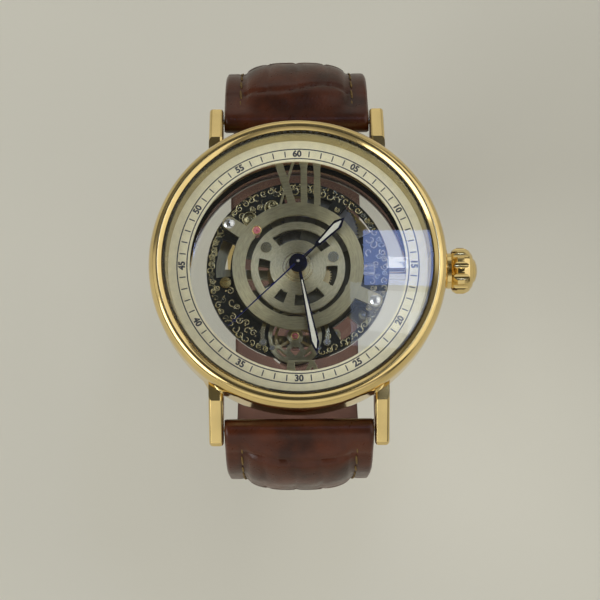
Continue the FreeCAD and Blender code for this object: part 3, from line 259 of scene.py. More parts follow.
def aroundAxis(finish, centre=(0, 0)):
    # where a point lies flat round an upright axis at a centre in mm, and how far out
    place = node(finish, "ShaderNodeTexCoord")
    mapping = node(finish, "ShaderNodeMapping", vector_type="POINT")
    mapping.inputs["Location"].default_value = (-centre[0] * mm, -centre[1] * mm, 0)
    split = node(finish, "ShaderNodeSeparateXYZ")
    flat = node(finish, "ShaderNodeCombineXYZ")
    reach = node(finish, "ShaderNodeVectorMath", operation="LENGTH")
    wire(finish, place.outputs["Object"], mapping.inputs["Vector"])
    wire(finish, mapping.outputs["Vector"], split.inputs["Vector"])
    wire(finish, split.outputs["X"], flat.inputs["X"])
    wire(finish, split.outputs["Y"], flat.inputs["Y"])
    wire(finish, flat.outputs["Vector"], reach.inputs[0])
    return place, split, flat, reach.outputs["Value"]


polishValues = dict(cloud=260, least=0.02, tarnish=140, dark=0.82, ripple=420)


def polishedMetal(name, colour, roughness, wear=0.06, waves=0.0):
    # polish with faint clouds, darker patches and, where waves is set, an uneven surface
    v = polishValues
    finish, shader = blankFinish(name, colour, 1.0, roughness)
    smoothest, dark = max(v["least"], roughness - wear), shaded(colour, v["dark"])
    roughnessFrom(finish, shader, grain(finish, v["cloud"], 4), smoothest, roughness + wear)
    colourFrom(finish, shader, grain(finish, v["tarnish"], 5), [(0.3, dark), (0.6, colour)])
    if waves:
        bump(finish, shader, grain(finish, v["ripple"], 2), waves)
    return finish


brushValues = dict(turnScale=0.0012, detail=4, dark=0.82, light=1.08, darkAt=0.32, lightAt=0.62,
                   smoother=0.06, rougher=0.08, strength=0.6)


def circularBrushing(name, colour, roughness, centre=(0, 0), lines=5200, depth=0.002, aniso=0.88):
    # hairlines run round a centre, so highlights stretch outwards from it
    v = brushValues
    finish, shader = blankFinish(name, colour, 1.0, roughness)
    _, split, flat, reach = aroundAxis(finish, centre)
    turn = node(finish, "ShaderNodeMath", operation="ARCTAN2")
    wire(finish, split.outputs["Y"], turn.inputs[0])
    wire(finish, split.outputs["X"], turn.inputs[1])
    shortTurn = node(finish, "ShaderNodeMath", operation="MULTIPLY")
    shortTurn.inputs[1].default_value = v["turnScale"]
    wire(finish, turn.outputs["Value"], shortTurn.inputs[0])
    polarPlace = node(finish, "ShaderNodeCombineXYZ")
    wire(finish, reach, polarPlace.inputs["X"])
    wire(finish, shortTurn.outputs["Value"], polarPlace.inputs["Y"])
    noise = node(finish, "ShaderNodeTexNoise")
    noise.inputs["Scale"].default_value = lines
    noise.inputs["Detail"].default_value = v["detail"]
    wire(finish, polarPlace.outputs["Vector"], noise.inputs["Vector"])
    hairlines = noise.outputs["Fac"]
    colourFrom(finish, shader, hairlines, [(v["darkAt"], shaded(colour, v["dark"])),
                                           (v["lightAt"], shaded(colour, v["light"]))])
    roughnessFrom(finish, shader, hairlines, roughness - v["smoother"], roughness + v["rougher"])
    bump(finish, shader, hairlines, depth, v["strength"])
    outward = node(finish, "ShaderNodeVectorMath", operation="NORMALIZE")
    wire(finish, flat.outputs["Vector"], outward.inputs[0])
    shader.inputs["Anisotropic"].default_value = aniso
    wire(finish, outward.outputs["Vector"], shader.inputs["Tangent"])
    return finish


# inner and rim are painted shade: dark colours for the plate under the bridges, darkest at the rim
groundValues = dict(innerR=9.2, outerR=9.8, inner=(0.085, 0.08, 0.055), rim=(0.022, 0.023, 0.019),
                    stipple=3400, smooth=0.3, rough=0.62, depth=0.02, strength=0.5)


def shadedEngravedGround(name, colour):
    # painted shade: the plate under the bridges is darkened, nearly black in the sunk ground round the rim
    # and a little lighter further in
    v = groundValues
    finish, shader = blankFinish(name, colour, 1.0, 0.42)
    place, _, _, reach = aroundAxis(finish)
    share = node(finish, "ShaderNodeMapRange")
    share.inputs["From Min"].default_value = v["innerR"] * mm
    share.inputs["From Max"].default_value = v["outerR"] * mm
    wire(finish, reach, share.inputs["Value"])
    colourFrom(finish, shader, share.outputs["Result"], [(0.0, v["inner"]), (1.0, v["rim"])])
    stipple = node(finish, "ShaderNodeTexVoronoi")
    stipple.inputs["Scale"].default_value = v["stipple"]
    wire(finish, place.outputs["Object"], stipple.inputs["Vector"])
    roughnessFrom(finish, shader, stipple.outputs["Distance"], v["smooth"], v["rough"])
    bump(finish, shader, stipple.outputs["Distance"], v["depth"], v["strength"])
    return finish


def clearFinish(name, tint, ior):
    # glass that lets lamps through to what lies behind it
    finish, shader = blankFinish(name, tint, 0.0, 0.0)
    shader.inputs["Transmission Weight"].default_value = 1.0
    shader.inputs["IOR"].default_value = ior
    path = node(finish, "ShaderNodeLightPath")
    clear = node(finish, "ShaderNodeBsdfTransparent")
    clear.inputs["Color"].default_value = (*tint, 1)
    mix = node(finish, "ShaderNodeMixShader")
    wire(finish, path.outputs["Is Shadow Ray"], mix.inputs[0])
    wire(finish, shader.outputs["BSDF"], mix.inputs[1])
    wire(finish, clear.outputs["BSDF"], mix.inputs[2])
    wire(finish, mix.outputs["Shader"], finish.node_tree.nodes["Material Output"].inputs["Surface"])
    return finish


def creamLacquer(name, colour):
    finish, shader = blankFinish(name, colour, 0.0, 0.32)
    shader.inputs["Coat Weight"].default_value = 0.08
    shader.inputs["Coat Roughness"].default_value = 0.2
    deep, pale = shaded(colour, 0.94), shaded(colour, 1.05)
    colourFrom(finish, shader, grain(finish, 900, 4), [(0.35, deep), (0.65, pale)])
    bump(finish, shader, grain(finish, 5200, 2), 0.004, 0.4)
    return finish


def rubyFinish(name):
    finish, shader = blankFinish(name, (0.5, 0.1, 0.13), 0.0, 0.06)
    shader.inputs["Coat Weight"].default_value = 1.0
    shader.inputs["Coat Roughness"].default_value = 0.03
    colourFrom(finish, shader, grain(finish, 2400, 2), [(0.3, (0.34, 0.03, 0.06)), (0.7, (0.62, 0.24, 0.24))])
    return finish


leatherValues = dict(dye=210, gloss=900, smoother=0.1, rougher=0.12, pores=1500, wrinkles=1400, strength=0.5)


def leatherFinish(name, deep, warm, gloss, grainDepth=0.035, spec=0.34):
    # embossed leather: pores, wrinkles and uneven dye
    v = leatherValues
    finish, shader = blankFinish(name, warm, 0.0, gloss)
    shader.inputs["Specular IOR Level"].default_value = spec
    colourFrom(finish, shader, grain(finish, v["dye"], 6), [(0.34, deep), (0.66, warm)])
    roughnessFrom(finish, shader, grain(finish, v["gloss"], 4), gloss - v["smoother"], gloss + v["rougher"])
    place = node(finish, "ShaderNodeTexCoord")
    pores = node(finish, "ShaderNodeTexVoronoi", feature="DISTANCE_TO_EDGE")
    pores.inputs["Scale"].default_value = v["pores"]
    wire(finish, place.outputs["Object"], pores.inputs["Vector"])
    wrinkles = grain(finish, v["wrinkles"], 5, (3, 1, 1))
    total = node(finish, "ShaderNodeMath", operation="ADD")
    wire(finish, pores.outputs["Distance"], total.inputs[0])
    wire(finish, wrinkles, total.inputs[1])
    bump(finish, shader, total.outputs["Value"], grainDepth, v["strength"])
    return finish


def threadFinish(name, colour):
    finish, shader = blankFinish(name, colour, 0.0, 0.7)
    colourFrom(finish, shader, grain(finish, 4200, 2), [(0.35, shaded(colour, 0.55)), (0.65, colour)])
    bump(finish, shader, grain(finish, 6000, 2), 0.03, 0.6)
    return finish


def printInk(name):
    finish, shader = blankFinish(name, (0.035, 0.036, 0.045), 0.0, 0.5)
    roughnessFrom(finish, shader, grain(finish, 5000, 2), 0.4, 0.6)
    return finish


nickelColour = (0.425, 0.385, 0.225)
balancePlace = (-0.5, -10.0)
barrelPlace = (3.155, 5.933)
gold = polishedMetal("polishedGold", (0.86, 0.65, 0.28), 0.13, 0.05, 0.006)
goldSatin = polishedMetal("satinChampagne", (0.50, 0.43, 0.25), 0.26, 0.07)
bridgeNickel = circularBrushing("circularBrushedNickel", nickelColour, 0.44, aniso=0.94)
bevelNickel = polishedMetal("polishedNickelEdge", (0.60, 0.555, 0.37), 0.14)
hubNickel = circularBrushing("turnedNickelHub", (0.54, 0.495, 0.31), 0.42, aniso=0.95)
# the mainplate's finish carries painted shade, darkening it under the bridges
plateGroundPaintedShade = shadedEngravedGround("engravedNickelGroundPaintedShade", nickelColour)
scrollNickel = polishedMetal("scrollNickel", (0.55, 0.51, 0.31), 0.16, 0.06)
cockNickel = circularBrushing("cockNickel", (0.30, 0.27, 0.155), 0.34, balancePlace)
backSteel = circularBrushing("brushedBackSteel", (0.72, 0.72, 0.70), 0.3, lines=1700)
brightSteel = polishedMetal("polishedSteel", (0.74, 0.74, 0.73), 0.1)
wheelBrass = circularBrushing("brushedWheelBrass", (0.52, 0.40, 0.18), 0.3, lines=2200, aniso=0.4)
barrelSteel = circularBrushing("darkBarrelSteel", (0.17, 0.16, 0.13), 0.34, barrelPlace, 2200, aniso=0.5)
brass = polishedMetal("polishedBrass", (0.62, 0.47, 0.16), 0.16)
glass = clearFinish("clearSapphire", (0.99, 1.0, 1.0), 1.5)
acrylic = clearFinish("clearAcrylic", (0.97, 0.97, 0.96), 1.3)
rubber = blankFinish("blackSealRubber", (0.02, 0.02, 0.02), 0.0, 0.6)[0]
cream = creamLacquer("creamLacquer", (0.84, 0.77, 0.51))
fillCream = creamLacquer("handFillCream", (0.62, 0.60, 0.49))
ink = printInk("blackDialPrint")
ruby = rubyFinish("polishedRuby")
blueSteel = polishedMetal("blueSteel", (0.014, 0.017, 0.085), 0.2, 0.04)
# painted shade: a near-black copy of the blue steel for the hands' hubs
hubShadeBlue = polishedMetal("polishedBlueHubPaintedShade", (0.006, 0.008, 0.034), 0.16, 0.04)
darkBlueSteel = polishedMetal("darkBlueSteel", (0.014, 0.019, 0.095), 0.34, 0.04)
leather = leatherFinish("embossedBrownLeather", (0.037, 0.0104, 0.0041), (0.094, 0.0235, 0.0080), 0.3)
lining = leatherFinish("strapLining", (0.045, 0.019, 0.012), (0.075, 0.033, 0.021), 0.62, 0.02, 0.25)
thread = threadFinish("ochreThread", (0.23, 0.135, 0.03))
print("finishes ready")


def dressNode(nodeName, *finishes):
    mesh = nodes[nodeName].data
    mesh.materials.clear()
    for finish in finishes:
        mesh.materials.append(finish)


for names, finish in (
    (("crystal", "rear_crystal"), glass), (("movement_holder",), acrylic),
    (("case_gaskets", "crown_gasket"), rubber), (("crown_tube", "spring_bars", "buckle_bar"), backSteel),
    (("caseback_screws", "back_screws", "dial_side_screws", "barrel_arbor", "ratchet_wheel", "crown_wheel",
      "click", "click_spring", "winding_pinion", "sliding_pinion", "setting_lever", "setting_lever_spring",
      "yoke", "winding_stem", "pallet_fork", "cannon_pinion"), brightSteel),
    (("balance_guards",), bevelNickel),
    (("mainspring", "hairspring"), darkBlueSteel), (("pallet_bridge",), bridgeNickel),
    (("barrel",), barrelSteel),
    (("centre_wheel", "third_wheel", "fourth_wheel", "escape_wheel", "minute_wheel", "hour_wheel",
      "balance_wheel"), wheelBrass),
    (("jewels",), ruby),
):
    for nodeName in names:
        dressNode(nodeName, finish)

# the second hand's hub takes the painted-shade copy as well
dressNode("second_hand", darkBlueSteel, hubShadeBlue)
dressNode("dial_side_screws", brightSteel, bevelNickel)
innerScrewR = 8
for face in nodes["dial_side_screws"].data.polygons:
    if face.center.xy.length < innerScrewR * mm:
        face.material_index = 1  # the screws in the bridges match the bridges' edges

# case: the bezel is one smooth turned ring, the case keeps its faces with eased edges
# foot, crest and lip: steps in from an edge and up or down from it
bezelValues = dict(outerR=21.8, innerR=19.66, seatR=19.87, lowZ=9.32, shoulderZ=9.95, topZ=12.3, topR=20.5,
                   lipZ=11.95, foot=((0.3, 0), (0.05, 0.25), (0, 0.6)), roundSteps=12, spinSteps=220,
                   crest=((0.1, 0.01), (0.19, 0.045), (0.26, 0.09)), lip=((0.05, 0.01), (0, 0.06)))


def bezelRing():
    v = bezelValues
    outline = [(v["seatR"], v["lowZ"])]
    outline += [(v["outerR"] - inward, v["lowZ"] + up) for inward, up in v["foot"]]
    outline.append((v["outerR"], v["shoulderZ"]))
    for k in range(1, v["roundSteps"] + 1):
        a = k * pi / 2 / v["roundSteps"]
        outline.append((v["topR"] + (v["outerR"] - v["topR"]) * cos(a),
                        v["shoulderZ"] + (v["topZ"] - v["shoulderZ"]) * sin(a)))
    outline += [(v["topR"] - inward, v["topZ"] - down) for inward, down in v["crest"]]
    outline += [(v["innerR"] + outward, v["lipZ"] - down) for outward, down in v["lip"]]
    outline.append((v["seatR"], outline[-1][1]))
    piece = turnedPiece("bezelRing", outline, v["spinSteps"])
    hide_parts("bezel")
    return finishPiece(piece, "case", "gold_plate", gold)


lugValues = dict(minX=10.9, minR=21.55, sharp=60, round=0.5, segments=4, stray=0.22)


def roundLugs(piece):
    # the lugs' edges outside the case are rounded more than the rest
    v = lugValues
    points = piece.data.vertices
    skin = BVHTree.FromPolygons([point.co.copy() for point in points],
                                [tuple(face.vertices) for face in piece.data.polygons])
    pick(piece)
    bpy.ops.object.mode_set(mode="EDIT")
    bpy.ops.mesh.select_mode(type="EDGE")
    bpy.ops.mesh.select_all(action="DESELECT")
    bpy.ops.mesh.edges_select_sharp(sharpness=radians(v["sharp"]))
    bpy.ops.object.mode_set(mode="OBJECT")
    points = piece.data.vertices
    for edge in piece.data.edges:
        ends = [points[k].co for k in edge.vertices]
        onLug = all(abs(co.x) > v["minX"] * mm and co.xy.length > v["minR"] * mm for co in ends)
        edge.select = edge.select and onLug
    bpy.ops.object.mode_set(mode="EDIT")
    bpy.ops.mesh.bevel(offset=v["round"] * mm, segments=v["segments"], clamp_overlap=False)
    bpy.ops.mesh.select_mode(type="VERT")
    bpy.ops.object.mode_set(mode="OBJECT")
    for point in piece.data.vertices:  # a point that the bevel throws off the case goes back to it
        near, _, _, gap = skin.find_nearest(point.co)
        if gap > v["stray"] * mm:
            point.co = near
    editAll(piece, mergeDoubles)


bezelRing()
caseBody = bevelledCopy("case_middle", "caseBody", 0.3, 3, 24, firstStep=roundLugs)
finishPiece(caseBody, "case", "gold_plate", gold)
finishPiece(bevelledCopy("crown", "crownGrip", 0.14, 3, 24), "crown_and_stem", "gold_plate", gold)
finishPiece(bevelledCopy("caseback_ring", "backRing", 0.12), "case", "steel_back", backSteel)
dressNode("rehaut", goldSatin)
print("case done")

# dial ring and its print
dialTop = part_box("dial_ring")[1].z / mm
dialValues = dict(innerLineR=16.2, outerLineR=17.65, lineW=0.17, lineSteps=180, inkT=0.012, sink=0.01,
                  tickL=0.9, tickW=0.17, numberSize=1.3, numberR=16.92, numberWeight=0.055, numberCurve=4,
                  turned=(20, 40))


def trackLine(radius):
    v = dialValues
    half = v["lineW"] / 2
    low, high = dialTop - v["sink"], dialTop + v["inkT"]
    return turnedPiece("trackLine", [(radius - half, low), (radius + half, low),
                                     (radius + half, high), (radius - half, high)], v["lineSteps"])


def dialNumber(number, turn):
    # numbers in the lower half are turned to read upright
    v = dialValues
    flip = pi if v["turned"][0] <= number <= v["turned"][1] else 0
    clearSelection()
    place = (v["numberR"] * mm * sin(-turn), v["numberR"] * mm * cos(turn), dialTop * mm)
    bpy.ops.object.text_add(location=place, rotation=(0, 0, turn + flip))
    label = bpy.context.object
    label.data.body = f"{number:02d}"
    label.data.align_x = "CENTER"
    label.data.align_y = "CENTER"
    label.data.size = v["numberSize"] * mm
    label.data.extrude = v["inkT"] * mm
    label.data.offset = v["numberWeight"] * mm
    label.data.resolution_u = v["numberCurve"]
    pick(label)
    bpy.ops.object.convert(target="MESH")
    return bpy.context.object


def dialPrint():
    v = dialValues
    pieces = [trackLine(v["innerLineR"]), trackLine(v["outerLineR"])]
    middleR = (v["innerLineR"] + v["outerLineR"]) / 2
    clearSelection()
    bpy.ops.mesh.primitive_cube_add(size=1, location=(0, middleR * mm, (dialTop + v["inkT"] / 2) * mm))
    tick = bpy.context.object
    tick.scale = (v["tickW"] * mm, v["tickL"] * mm, v["inkT"] * mm)
    settle(tick)
    for minute in range(60):
        turn = radians(-6 * minute)
        if minute % 5:
            pieces.append(placedCopy(tick, Matrix.Rotation(turn, 4, "Z")))
        else:
            pieces.append(dialNumber(minute or 60, turn))
    dropped(tick)
    piece = joined("dialPrint", pieces)
    return finishPiece(piece, "case", "dial_cream", ink)


dialPrint()
finishPiece(bevelledCopy("dial_ring", "dialRing", 0.07, 2), "case", "dial_cream", cream)
print("dial done")

# bridges: brushed faces and polished bevels
for nodeName, name, width, faceFinish, slotName in (
    ("dial_bridge", "dialBridge", 0.11, bridgeNickel, "nickel_bridge"),
    ("numeral_six", "numeralSix", 0.08, bridgeNickel, "nickel_bridge"),
    ("inner_bridge", "innerBridge", 0.1, hubNickel, "nickel_bridge"),
    ("balance_cock", "balanceCock", 0.07, cockNickel, "nickel_bridge"),
    ("balance_bridge", "balanceBridge", 0.07, bridgeNickel, "nickel_bridge"),
    ("barrel_bridge", "barrelBridge", 0.1, bridgeNickel, "nickel_bridge"),
    ("train_bridge", "trainBridge", 0.1, bridgeNickel, "nickel_bridge"),
    ("mainplate", "mainplateDressed", 0.06, plateGroundPaintedShade, "nickel_plate"),
):
    piece = bevelledCopy(nodeName, name, width, 2, 40, 1)
    finishPiece(piece, "case", slotName, faceFinish, bevelNickel)
print("bridges done")

# scrollwork engraved round the mainplate's rim
plateTop = 5.6
cupPlaces = ((-7.1, 7.9), (-3.8, 9.6))
# openings: from and to in degrees and the radius they reach; curlKinds: turns and reach
scrollValues = dict(seed=11, outerR=13.25, innerR=10.0, wireR=0.095, beadR=0.2, balanceR=4.4, cupR=1.3,
                    openings=((156, 185, 12.05), (64, 100, 11.65), (28, 54, 12.45), (300, 328, 12.35)),
                    openingSide=3, openingGap=0.15, curlKinds=((1.25, 0.52), (0.8, 0.62), (1.6, 0.44)),
                    curlPoints=15, curlTighten=0.78, curlThick=1.15, curlThin=0.5, curlFlat=0.9,
                    curls=150, curlJitter=0.2, curlRoom=0.4, rowGap=0.5, curlBand=(1.1, 3.2),
                    curlSize=(0.85, 1.15), beads=110, beadJitter=0.3, beadGap=0.12, beadSpread=0.25,
                    innerBeads=70, innerBand=(10.0, 11.9), beadSize=(0.55, 1.1), beadFlat=0.8)


def bandFloor(angle):
    v = scrollValues
    for low, high, radius in v["openings"]:
        if low - v["openingSide"] < angle % 360 < high + v["openingSide"]:
            return radius + v["openingGap"]
    return v["innerR"]


def curlShape(turns, reach):
    v = scrollValues
    curve = bpy.data.curves.new("curl", "CURVE")
    curve.dimensions = "3D"
    curve.bevel_depth = v["wireR"] * mm
    curve.bevel_resolution = 1
    spline = curve.splines.new("POLY")
    last = v["curlPoints"] - 1
    spline.points.add(last)
    for k in range(last + 1):
        share = k / last
        a = share * turns * 2 * pi
        r = reach * (1.0 - v["curlTighten"] * share)
        spline.points[k].co = (r * cos(a) * mm, r * sin(a) * mm, 0, 1)
        spline.points[k].radius = v["curlThick"] - v["curlThin"] * share
    curl = bpy.data.objects.new("curl", curve)
    bpy.context.scene.collection.objects.link(curl)
    pick(curl)
    bpy.ops.object.convert(target="MESH")
    return bpy.context.object


def within(x, y, place, reach):
    return hypot(x - place[0], y - place[1]) < reach


def scrollwork():
    # an outer row of curls, looser curls inside it, then beads at the rim and between
    v = scrollValues
    draw = Random(v["seed"])
    shapes = [curlShape(turns, reach) for turns, reach in v["curlKinds"]]
    clearSelection()
    bpy.ops.mesh.primitive_ico_sphere_add(subdivisions=1, radius=v["beadR"] * mm)
    bead = bpy.context.object
    pieces = []
    height = plateTop * mm
    for k in range(v["curls"]):
        angle = 360 * (k + draw.uniform(-v["curlJitter"], v["curlJitter"])) / v["curls"]
        low = bandFloor(angle)
        radius = v["outerR"] - v["rowGap"] if k % 2 else max(low + v["curlRoom"],
                                                             v["outerR"] - draw.uniform(*v["curlBand"]))
        x, y = radius * cos(radians(angle)), radius * sin(radians(angle))
        if radius > v["outerR"] - v["curlRoom"] or within(x, y, balancePlace, v["balanceR"]):
            continue
        flip = -1 if draw.random() < 0.5 else 1
        turn = Matrix.Rotation(radians(angle + draw.uniform(0, 360)), 4, "Z")
        size = draw.uniform(*v["curlSize"])
        place = Matrix.Translation((x * mm, y * mm, height))
        stretch = Matrix.Diagonal((size, size * flip, v["curlFlat"], 1))
        pieces.append(placedCopy(draw.choice(shapes), place @ turn @ stretch))
    for k in range(v["beads"] + v["innerBeads"]):
        outer = k < v["beads"]
        shift = draw.uniform(-v["beadJitter"], v["beadJitter"])
        angle = 360 * (k + shift) / (v["beads"] if outer else v["innerBeads"])
        if outer:
            radius = v["outerR"] - v["beadGap"] - draw.uniform(0, v["beadSpread"])
        else:
            radius = draw.uniform(*v["innerBand"])
        x, y = radius * cos(radians(angle)), radius * sin(radians(angle))
        if (radius < bandFloor(angle) + v["openingGap"] or within(x, y, balancePlace, v["balanceR"])
                or any(within(x, y, cup, v["cupR"]) for cup in cupPlaces)):
            continue
        size = draw.uniform(*v["beadSize"])
        place = Matrix.Translation((x * mm, y * mm, height))
        pieces.append(placedCopy(bead, place @ Matrix.Diagonal((size, size, size * v["beadFlat"], 1))))
    for shape in shapes + [bead]:
        dropped(shape)
    piece = joined("rimScrollwork", pieces)
    smooth(piece, meshValues["smallAngle"])
    return finishPiece(piece, "case", "nickel_plate", scrollNickel)


scrollwork()

# polished cups, jewel settings and the small turned rings
# rings are radius and thickness, with their place after it for the jewels; outlines are radius and height
settingValues = dict(cupR=1.0, cupRim=0.13, cupEdge=0.01, cupDepth=0.55, cupRound=0.5, cupSteps=6,
                     cupSink=0.02, hubSteps=((2.2, 0.07), (1.75, 0.05)), hubZ=7.41, postPlace=(-10.6, -1.9),
                     jewels=((0.62, 0.09, -6.0, 5.4, 8.31), (0.55, 0.07, *balancePlace, 6.31)),
                     balanceRim=((3.38, 5.61), (3.86, 5.61), (3.86, 5.8), (3.78, 5.88), (3.46, 5.88),
                                 (3.38, 5.8)),
                     post=((0, 5.58), (0.85, 5.58), (0.85, 6.1), (0.76, 6.22), (0.3, 6.24), (0.22, 6.1),
                           (0, 6.1)))
ringSteps = dict(tube=10, pin=24, small=48, large=96)


def ringAt(name, radius, thick, x, y, z, segments=ringSteps["small"]):
    clearSelection()
    bpy.ops.mesh.primitive_torus_add(major_radius=radius * mm, minor_radius=thick * mm,
                                     major_segments=segments, minor_segments=ringSteps["tube"],
                                     location=(x * mm, y * mm, z * mm))
    piece = settle(bpy.context.object)
    piece.name = name
    smooth(piece, meshValues["smallAngle"])
    return piece


def turnedAt(name, outline, place, steps=ringSteps["small"]):
    piece = turnedPiece(name, outline, steps)
    piece.data.transform(Matrix.Translation((place[0] * mm, place[1] * mm, 0)))
    return piece


def polishedCup(place):
    # a shallow bowl let into the plate
    v = settingValues
    deep, outer = plateTop - v["cupDepth"], v["cupR"] - v["cupEdge"]
    bowl = [(0, deep)]
    for k in range(1, v["cupSteps"] + 1):
        a = k * pi / 2 / v["cupSteps"]
        bowl.append((outer * sin(a), plateTop - v["cupSink"] - v["cupRound"] * cos(a)))
    return turnedAt("cupBowl", bowl + [(outer, deep - v["cupSink"]), (0, deep - v["cupSink"])], place)


def movementSettings():
    v = settingValues
    rims = [ringAt("cupRing", v["cupR"] + v["cupSink"], v["cupRim"], *place, plateTop) for place in cupPlaces]
    finishPiece(joined("cupRims", rims), "case", "nickel_plate", scrollNickel)
    steps = [ringAt("hubStep", r, t, 0, 0, v["hubZ"], ringSteps["large"]) for r, t in v["hubSteps"]]
    finishPiece(joined("hubSteps", steps), "case", "nickel_bridge", bevelNickel)
    jewels = [ringAt("jewelRing", *ring) for ring in v["jewels"]]
    finishPiece(joined("jewelSettings", jewels), "case", "gold_plate", gold)
    cups = [polishedCup(place) for place in cupPlaces]
    finishPiece(joined("polishedCups", cups), "case", "nickel_plate", scrollNickel)
    rim = turnedAt("balanceRim", v["balanceRim"], balancePlace, ringSteps["large"])
    finishPiece(rim, "case", "nickel_bridge", cockNickel)
    finishPiece(turnedAt("brassPost", v["post"], v["postPlace"]), "case", "wheel_brass", brass)


movementSettings()
print("movement done")

# hands: blue frames with a cream filling; stations are half width and distance from the hub
handValues = dict(hour=dict(stations=((0.14, 4.35), (0.42, 7.9), (0.05, 9.0)), angle=45.0,
                            node="hour_hand", body="hour_works"),
                  minute=dict(stations=((0.07, 2.7), (0.36, 11.9), (0.05, 13.1)), angle=169.0,
                              node="minute_hand", body="minute_works"),
                  fillRise=0.035, fillSink=0.05, fillEdge=0.025, shadedHubR=1.5,
                  pin=dict(radius=0.16, thick=0.1, x=0, y=0, z=10.96))


def handFill(name, values):
    v = handValues
    stations = values["stations"]
    outline = [(w, y) for w, y in stations] + [(-w, y) for w, y in stations[::-1]]
    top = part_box(values["node"])[1].z / mm
    count = len(outline)
    levels = (top - v["fillSink"], top + v["fillRise"])
    points = [(x * mm, y * mm, z * mm) for z in levels for x, y in outline]
    sides = [(k, (k + 1) % count, (k + 1) % count + count, k + count) for k in range(count)]
    piece = meshPiece(name, points, [tuple(range(count))[::-1], tuple(range(count, 2 * count))] + sides)
    piece.data.transform(Matrix.Rotation(radians(-values["angle"]), 4, "Z"))
    editAll(piece, faceOut)
    bevel = piece.modifiers.new("softEdge", "BEVEL")
    bevel.width = v["fillEdge"] * mm
    bevel.segments = 2
    settle(piece)
    return finishPiece(piece, values["body"], "blued_steel", fillCream)


# painted shade: a hand's faces within its hub take the near-black copy of its steel
def paintHubShade(piece):
    for face in piece.data.polygons:
        face.material_index = int(face.center.xy.length < handValues["shadedHubR"] * mm)


for name in ("hour", "minute"):
    values = handValues[name]
    handFill(name + "HandFill", values)
    handFrame = bevelledCopy(values["node"], name + "HandFrame", 0.05, 2, 40)
    finishPiece(handFrame, values["body"], "blued_steel", blueSteel, hubShadeBlue)
    paintHubShade(handFrame)
paintHubShade(nodes["second_hand"])
pinRing = ringAt("centrePin", segments=ringSteps["pin"], **handValues["pin"])
finishPiece(pinRing, "seconds", "polished_steel", brightSteel)
print("hands done")

# strap: two padded halves lofted along their paths
# a pair in strapValues is where a form starts and is whole, or its size and how fast it fades
strapValues = dict(barY=23.7, barZ=4.3, width=21.7, endWidth=18.0, taperZ=-60.0, half=1.1, eyeR=1.72,
                   eyeFade=4.0, padHalf=7.6, padRise=1.7, padIn=(-0.2, 4.2), padOut=8, padPower=3.0,
                   padRound=0.62, seamInset=2.4, seamDepth=0.16, seamW=0.3, seamFrom=1.2, topEdge=0.55,
                   topEdgeDrop=0.5, liningEdge=0.4, liningEdgeDrop=0.3, step=0.36, columns=60, crowding=0.55,
                   eyeSteps=6, pointPower=1.8, pointRound=0.75, pointWidth=0.08, pointThin=0.25,
                   mergeGap=1e-6, shadeAngle=50)
scaleValues = dict(row=8.2, rowSpread=(0.85, 1.2), rowsPast=8, split=(-0.9, 0.7), splitGap=(3.6, 4.6),
                   lean=0.05, wave=(0.2, 0.5), waveTurn=0.45, sideWave=0.25, sideTurn=0.9, creaseDepth=0.34,
                   creaseW=0.23, sideShare=0.5, pillow=0.06, pillowReach=1.1, showIn=(1.0, 3.2),
                   edgeShare=0.75, edgeFade=(-0.2, 0.9), far=9.0)
buckleHalf = dict(name="strapBuckleHalf", node="strap_buckle_half", body="buckle_half", end=1, start=-22.0,
                  path=(("line", 3.0), ("arc", 11.4, 68.0), ("arc", 50.0, 18.0), ("line", 34.0)),
                  padStop=39.5, tip=1.25, point=0.0, firstRow=4.3, seed=5, barBack=1.6, sewnShort=5.0)
longHalf = dict(name="strapLongHalf", node="strap_long_half", body="long_half", end=-1, start=-40.0,
                path=(("line", 1.0), ("arc", 9.0, 50.0), ("line", 1.5), ("arc", 30.0, 25.0), ("line", 9.94),
                      ("arc", 17.0, 65.0), ("line", 11.58), ("arc", 18.0, 80.0), ("line", 13.0)),
                padStop=39.5, tip=0.9, point=9.0, firstRow=3.2, seed=8, sewnShort=11.5)


def pathLength(path):
    return sum(run[1] if run[0] == "line" else run[1] * radians(run[2]) for run in path)


def pathPlace(half, distance):
    # the point and heading at a distance from the spring bar
    y, z, heading = strapValues["barY"], strapValues["barZ"], half["start"]
    left = distance
    for run in half["path"]:
        length = run[1] if run[0] == "line" else run[1] * radians(run[2])
        here = min(left, length) if run is not half["path"][-1] else left
        if left < 0:
            here = left
        a = radians(heading)
        if run[0] == "line":
            y, z = y + here * cos(a), z + here * sin(a)
        else:
            turned = here / run[1]
            y, z = y + run[1] * (sin(a) - sin(a - turned)), z - run[1] * (cos(a) - cos(a - turned))
            heading -= turned * 180 / pi
        left -= here
        if left <= 1e-9:
            break
    return y, z, heading


def fade(value, low, high):
    share = min(1.0, max(0.0, (value - low) / (high - low)))
    return share * share * (3 - 2 * share)


def strapWidthAt(z):
    v = strapValues
    share = (v["barZ"] - z) / (v["barZ"] - v["taperZ"])
    return v["width"] / 2 + (v["endWidth"] - v["width"]) / 2 * min(1.0, max(0.0, share))


def creaseMap(half, stop):
    # rows of scales: each row's edge, and the seams that split it
    v = scaleValues
    draw = Random(half["seed"])
    rows, at = [], half["firstRow"]
    while at < stop + v["rowsPast"]:
        splits = [draw.uniform(*v["split"])]
        splits += [splits[0] - draw.uniform(*v["splitGap"]), splits[0] + draw.uniform(*v["splitGap"])]
        rows.append(dict(edge=at, lean=draw.uniform(-v["lean"], v["lean"]), wave=draw.uniform(*v["wave"]),
                         phase=draw.uniform(0, 6.28), splits=splits))
        at += v["row"] * draw.uniform(*v["rowSpread"])
    return rows


def rowEdge(row, x):
    return row["edge"] + row["lean"] * x + row["wave"] * sin(scaleValues["waveTurn"] * x + row["phase"])


